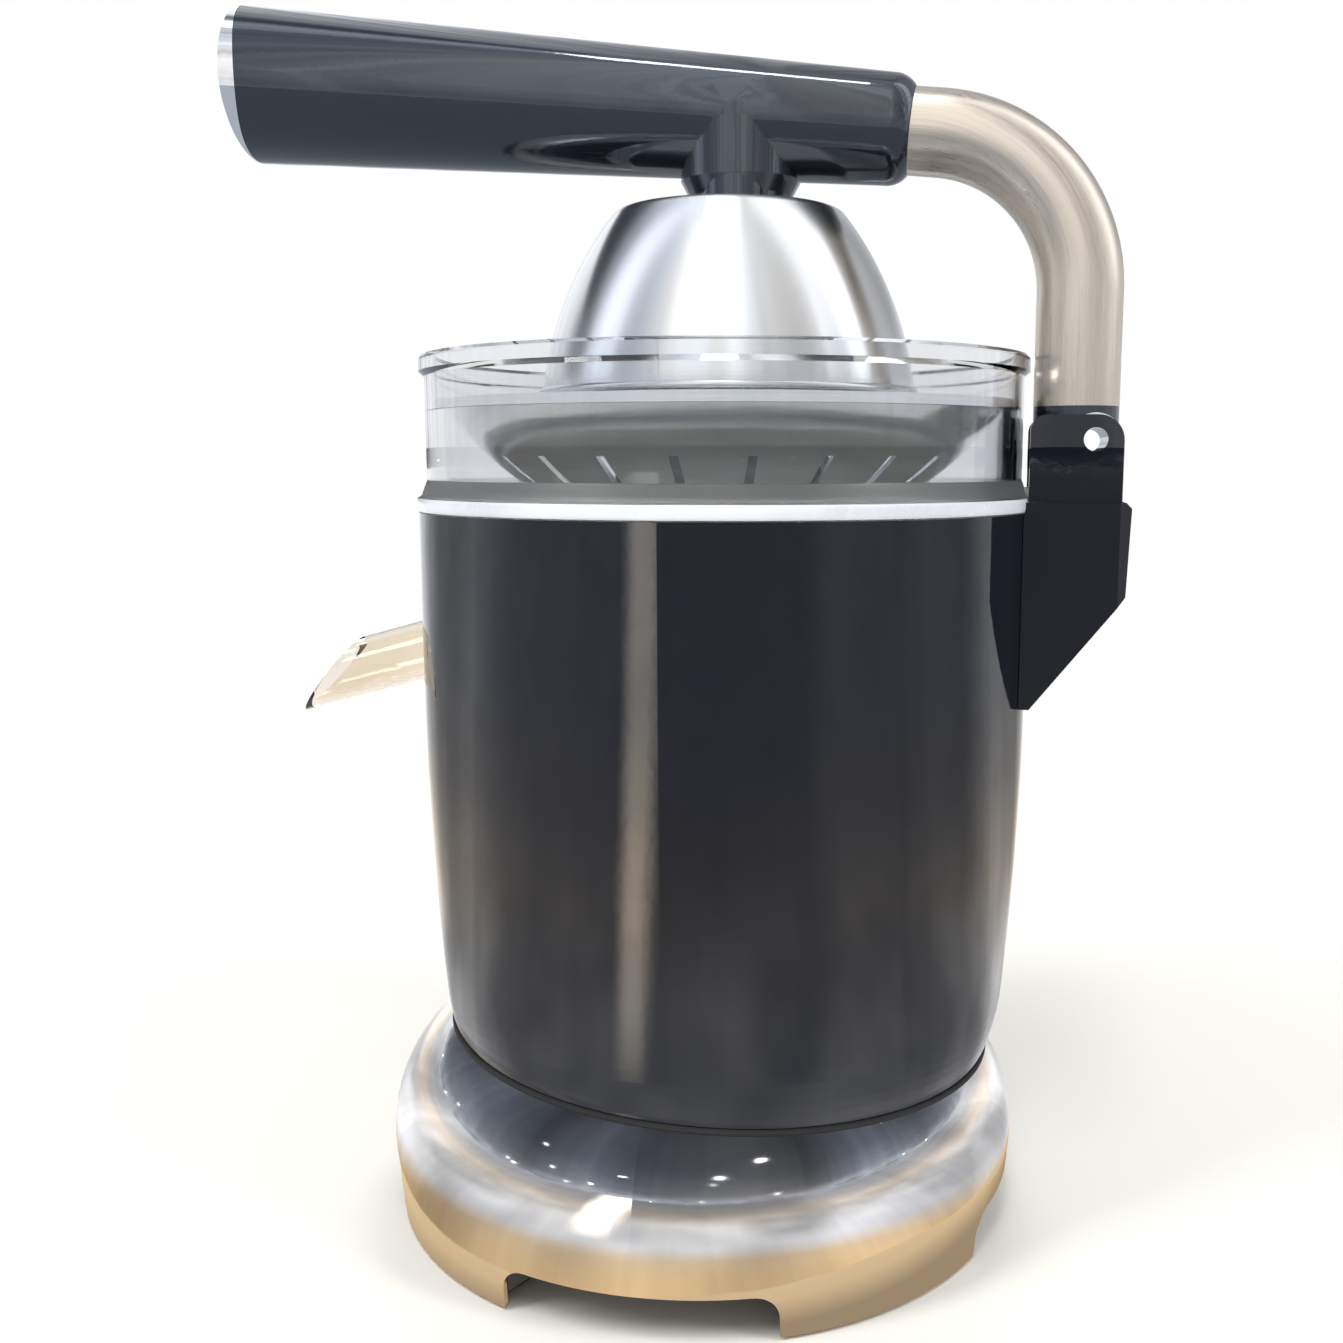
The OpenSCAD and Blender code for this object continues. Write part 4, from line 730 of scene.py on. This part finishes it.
def upright_lines(tree, angle, comb):
    """A factor near one: fine upright lines."""
    lines = add_node(tree, "ShaderNodeTexNoise", {"W": angle, "Scale": 14.0, "Detail": 3.0},
                     noise_dimensions="1D")
    return span_node(tree, lines.outputs["Fac"], 0.3, 0.7, 1 - comb, 1 + comb)


def warm_close_by(tree, rise, tone):
    """The low screen's colours for what stands close to it, and a plain foot for all else."""
    ray = add_node(tree, "ShaderNodeLightPath").outputs["Ray Length"]
    away = span_node(tree, ray, WARM_NEAR, WARM_FAR)
    return colour_mix(tree, away, tone, colour_ramp(tree, rise, PLAIN_RISE))


def lid_sides(tree, place, tone):
    """Small lights on the lid's underside, and one plain tone above."""
    spots = add_node(tree, "ShaderNodeTexVoronoi", {"Vector": place, "Scale": 9.0}).outputs["Distance"]
    glare = span_node(tree, spots, LIGHT_CORE, LIGHT_EDGE, LID_LIGHTS, 0.0)
    lit = add_node(tree, "ShaderNodeVectorMath", {0: tone, 1: glare}, operation="ADD").outputs[0]
    below = add_node(tree, "ShaderNodeNewGeometry").outputs["Backfacing"]
    return colour_mix(tree, below, LID_TOP, lit)


def glow_in_reflections(thing, paint, tree, surface, colour, strength):
    """A glow that only glossy rays meet: it lights nothing and the camera looks through it."""
    glow = add_node(tree, "ShaderNodeEmission", {"Color": colour, "Strength": strength})
    tree.links.new(glow.outputs[0], surface)
    thing.data.materials.append(paint)
    thing.visible_camera = False
    thing.visible_diffuse = False
    thing.visible_shadow = False
    thing.visible_transmission = False


# %% Screens round the object
BANDS_FROM, BANDS_FULL = 0.05, 0.2
for name, bands, level, rows, size, strength, uneven, comb in SCREENS:
    low_radius, high_radius, height, lower_edge = size
    bpy.ops.object.select_all(action="DESELECT")
    bpy.ops.mesh.primitive_cone_add(vertices=128, radius1=low_radius, radius2=high_radius, depth=height,
                                    end_fill_type="NOTHING", location=(0, 0, lower_edge + height / 2))
    screen = bpy.context.object
    screen.name = name
    paint, tree, surface = stage_material(name + "_paint")
    place = add_node(tree, "ShaderNodeTexCoord").outputs["Object"]
    turned = add_node(tree, "ShaderNodeVectorRotate", {"Vector": place, "Angle": -CAMERA_TURN},
                      rotation_type="Z_AXIS")
    x, y, z = split_node(tree, turned.outputs[0])
    angle = math_node(tree, "ARCTAN2", y, x)
    rise = span_node(tree, z, -height / 2, height / 2)
    by_turn = colour_ramp(tree, span_node(tree, angle, -math.pi, math.pi), band_rows(bands))
    banded = colour_mix(tree, span_node(tree, rise, BANDS_FROM, BANDS_FULL), (level, level, level, 1), by_turn)
    by_height = colour_ramp(tree, rise, rows)
    if name == "low_screen":
        by_height = warm_close_by(tree, rise, by_height)
    tone = multiplied(tree, banded, by_height)
    tone = multiplied(tree, tone, patches(tree, place, rise, uneven))
    tone = multiplied(tree, tone, upright_lines(tree, angle, comb))
    if name == "lid_screen":
        tone = lid_sides(tree, place, tone)
    glow_in_reflections(screen, paint, tree, surface, tone, strength)
print("screens:", [row[0] for row in SCREENS])

# %% [markdown]
# A long thin highlight runs along the top of the grip. A lamp would light everything else too, so a strip
# that only reflections meet hangs over the handle.

# %% Strip light over the handle
STRIP_PLACE, STRIP_SIZE, STRIP_STRENGTH = (0.10, -0.12, 1.45), (0.10, 0.42, 1), 18.0
bpy.ops.object.select_all(action="DESELECT")
bpy.ops.mesh.primitive_plane_add(size=1, location=STRIP_PLACE)
strip = bpy.context.object
strip.name = "strip_light"
strip.scale = STRIP_SIZE
bpy.ops.object.transform_apply(location=False, rotation=False, scale=True)
paint, tree, surface = stage_material("strip_paint")
glow_in_reflections(strip, paint, tree, surface, (0.95, 0.98, 1.0, 1), STRIP_STRENGTH)
print("strip light over the handle")

# %% [markdown]
# Four soft area lamps light the object itself: a key, a fill, one in front and one behind. The screens
# already draw the reflections, so the lamps stay out of them.

# %% Lamps
LAMP_AIM = Vector((0, 0, 0.16))
LAMPS = [  # name, turn from the camera in degrees, height, distance, width, length, watts
    ("key_lamp", -58, 1.15, 1.0, 0.35, 0.9, 11.0),
    ("fill_lamp", 60, 1.0, 1.1, 0.30, 0.9, 8.0),
    ("front_lamp", -8, 1.45, 0.8, 0.22, 0.7, 6.0),
    ("rear_lamp", 175, 1.2, 1.1, 0.8, 0.8, 8.0),
]
for name, turn, high, far, wide, long, watts in LAMPS:
    angle = CAMERA_TURN + math.radians(turn)
    bpy.ops.object.select_all(action="DESELECT")
    bpy.ops.object.light_add(type="AREA", location=(far * math.cos(angle), far * math.sin(angle), high))
    lamp = bpy.context.object
    lamp.name = name
    lamp.data.shape = "RECTANGLE"
    lamp.data.size = wide
    lamp.data.size_y = long
    lamp.data.energy = watts
    lamp.rotation_euler = (LAMP_AIM - lamp.location).to_track_quat("-Z", "Y").to_euler()
    lamp.visible_camera = False
    lamp.visible_glossy = False
print("lamps:", len(LAMPS))
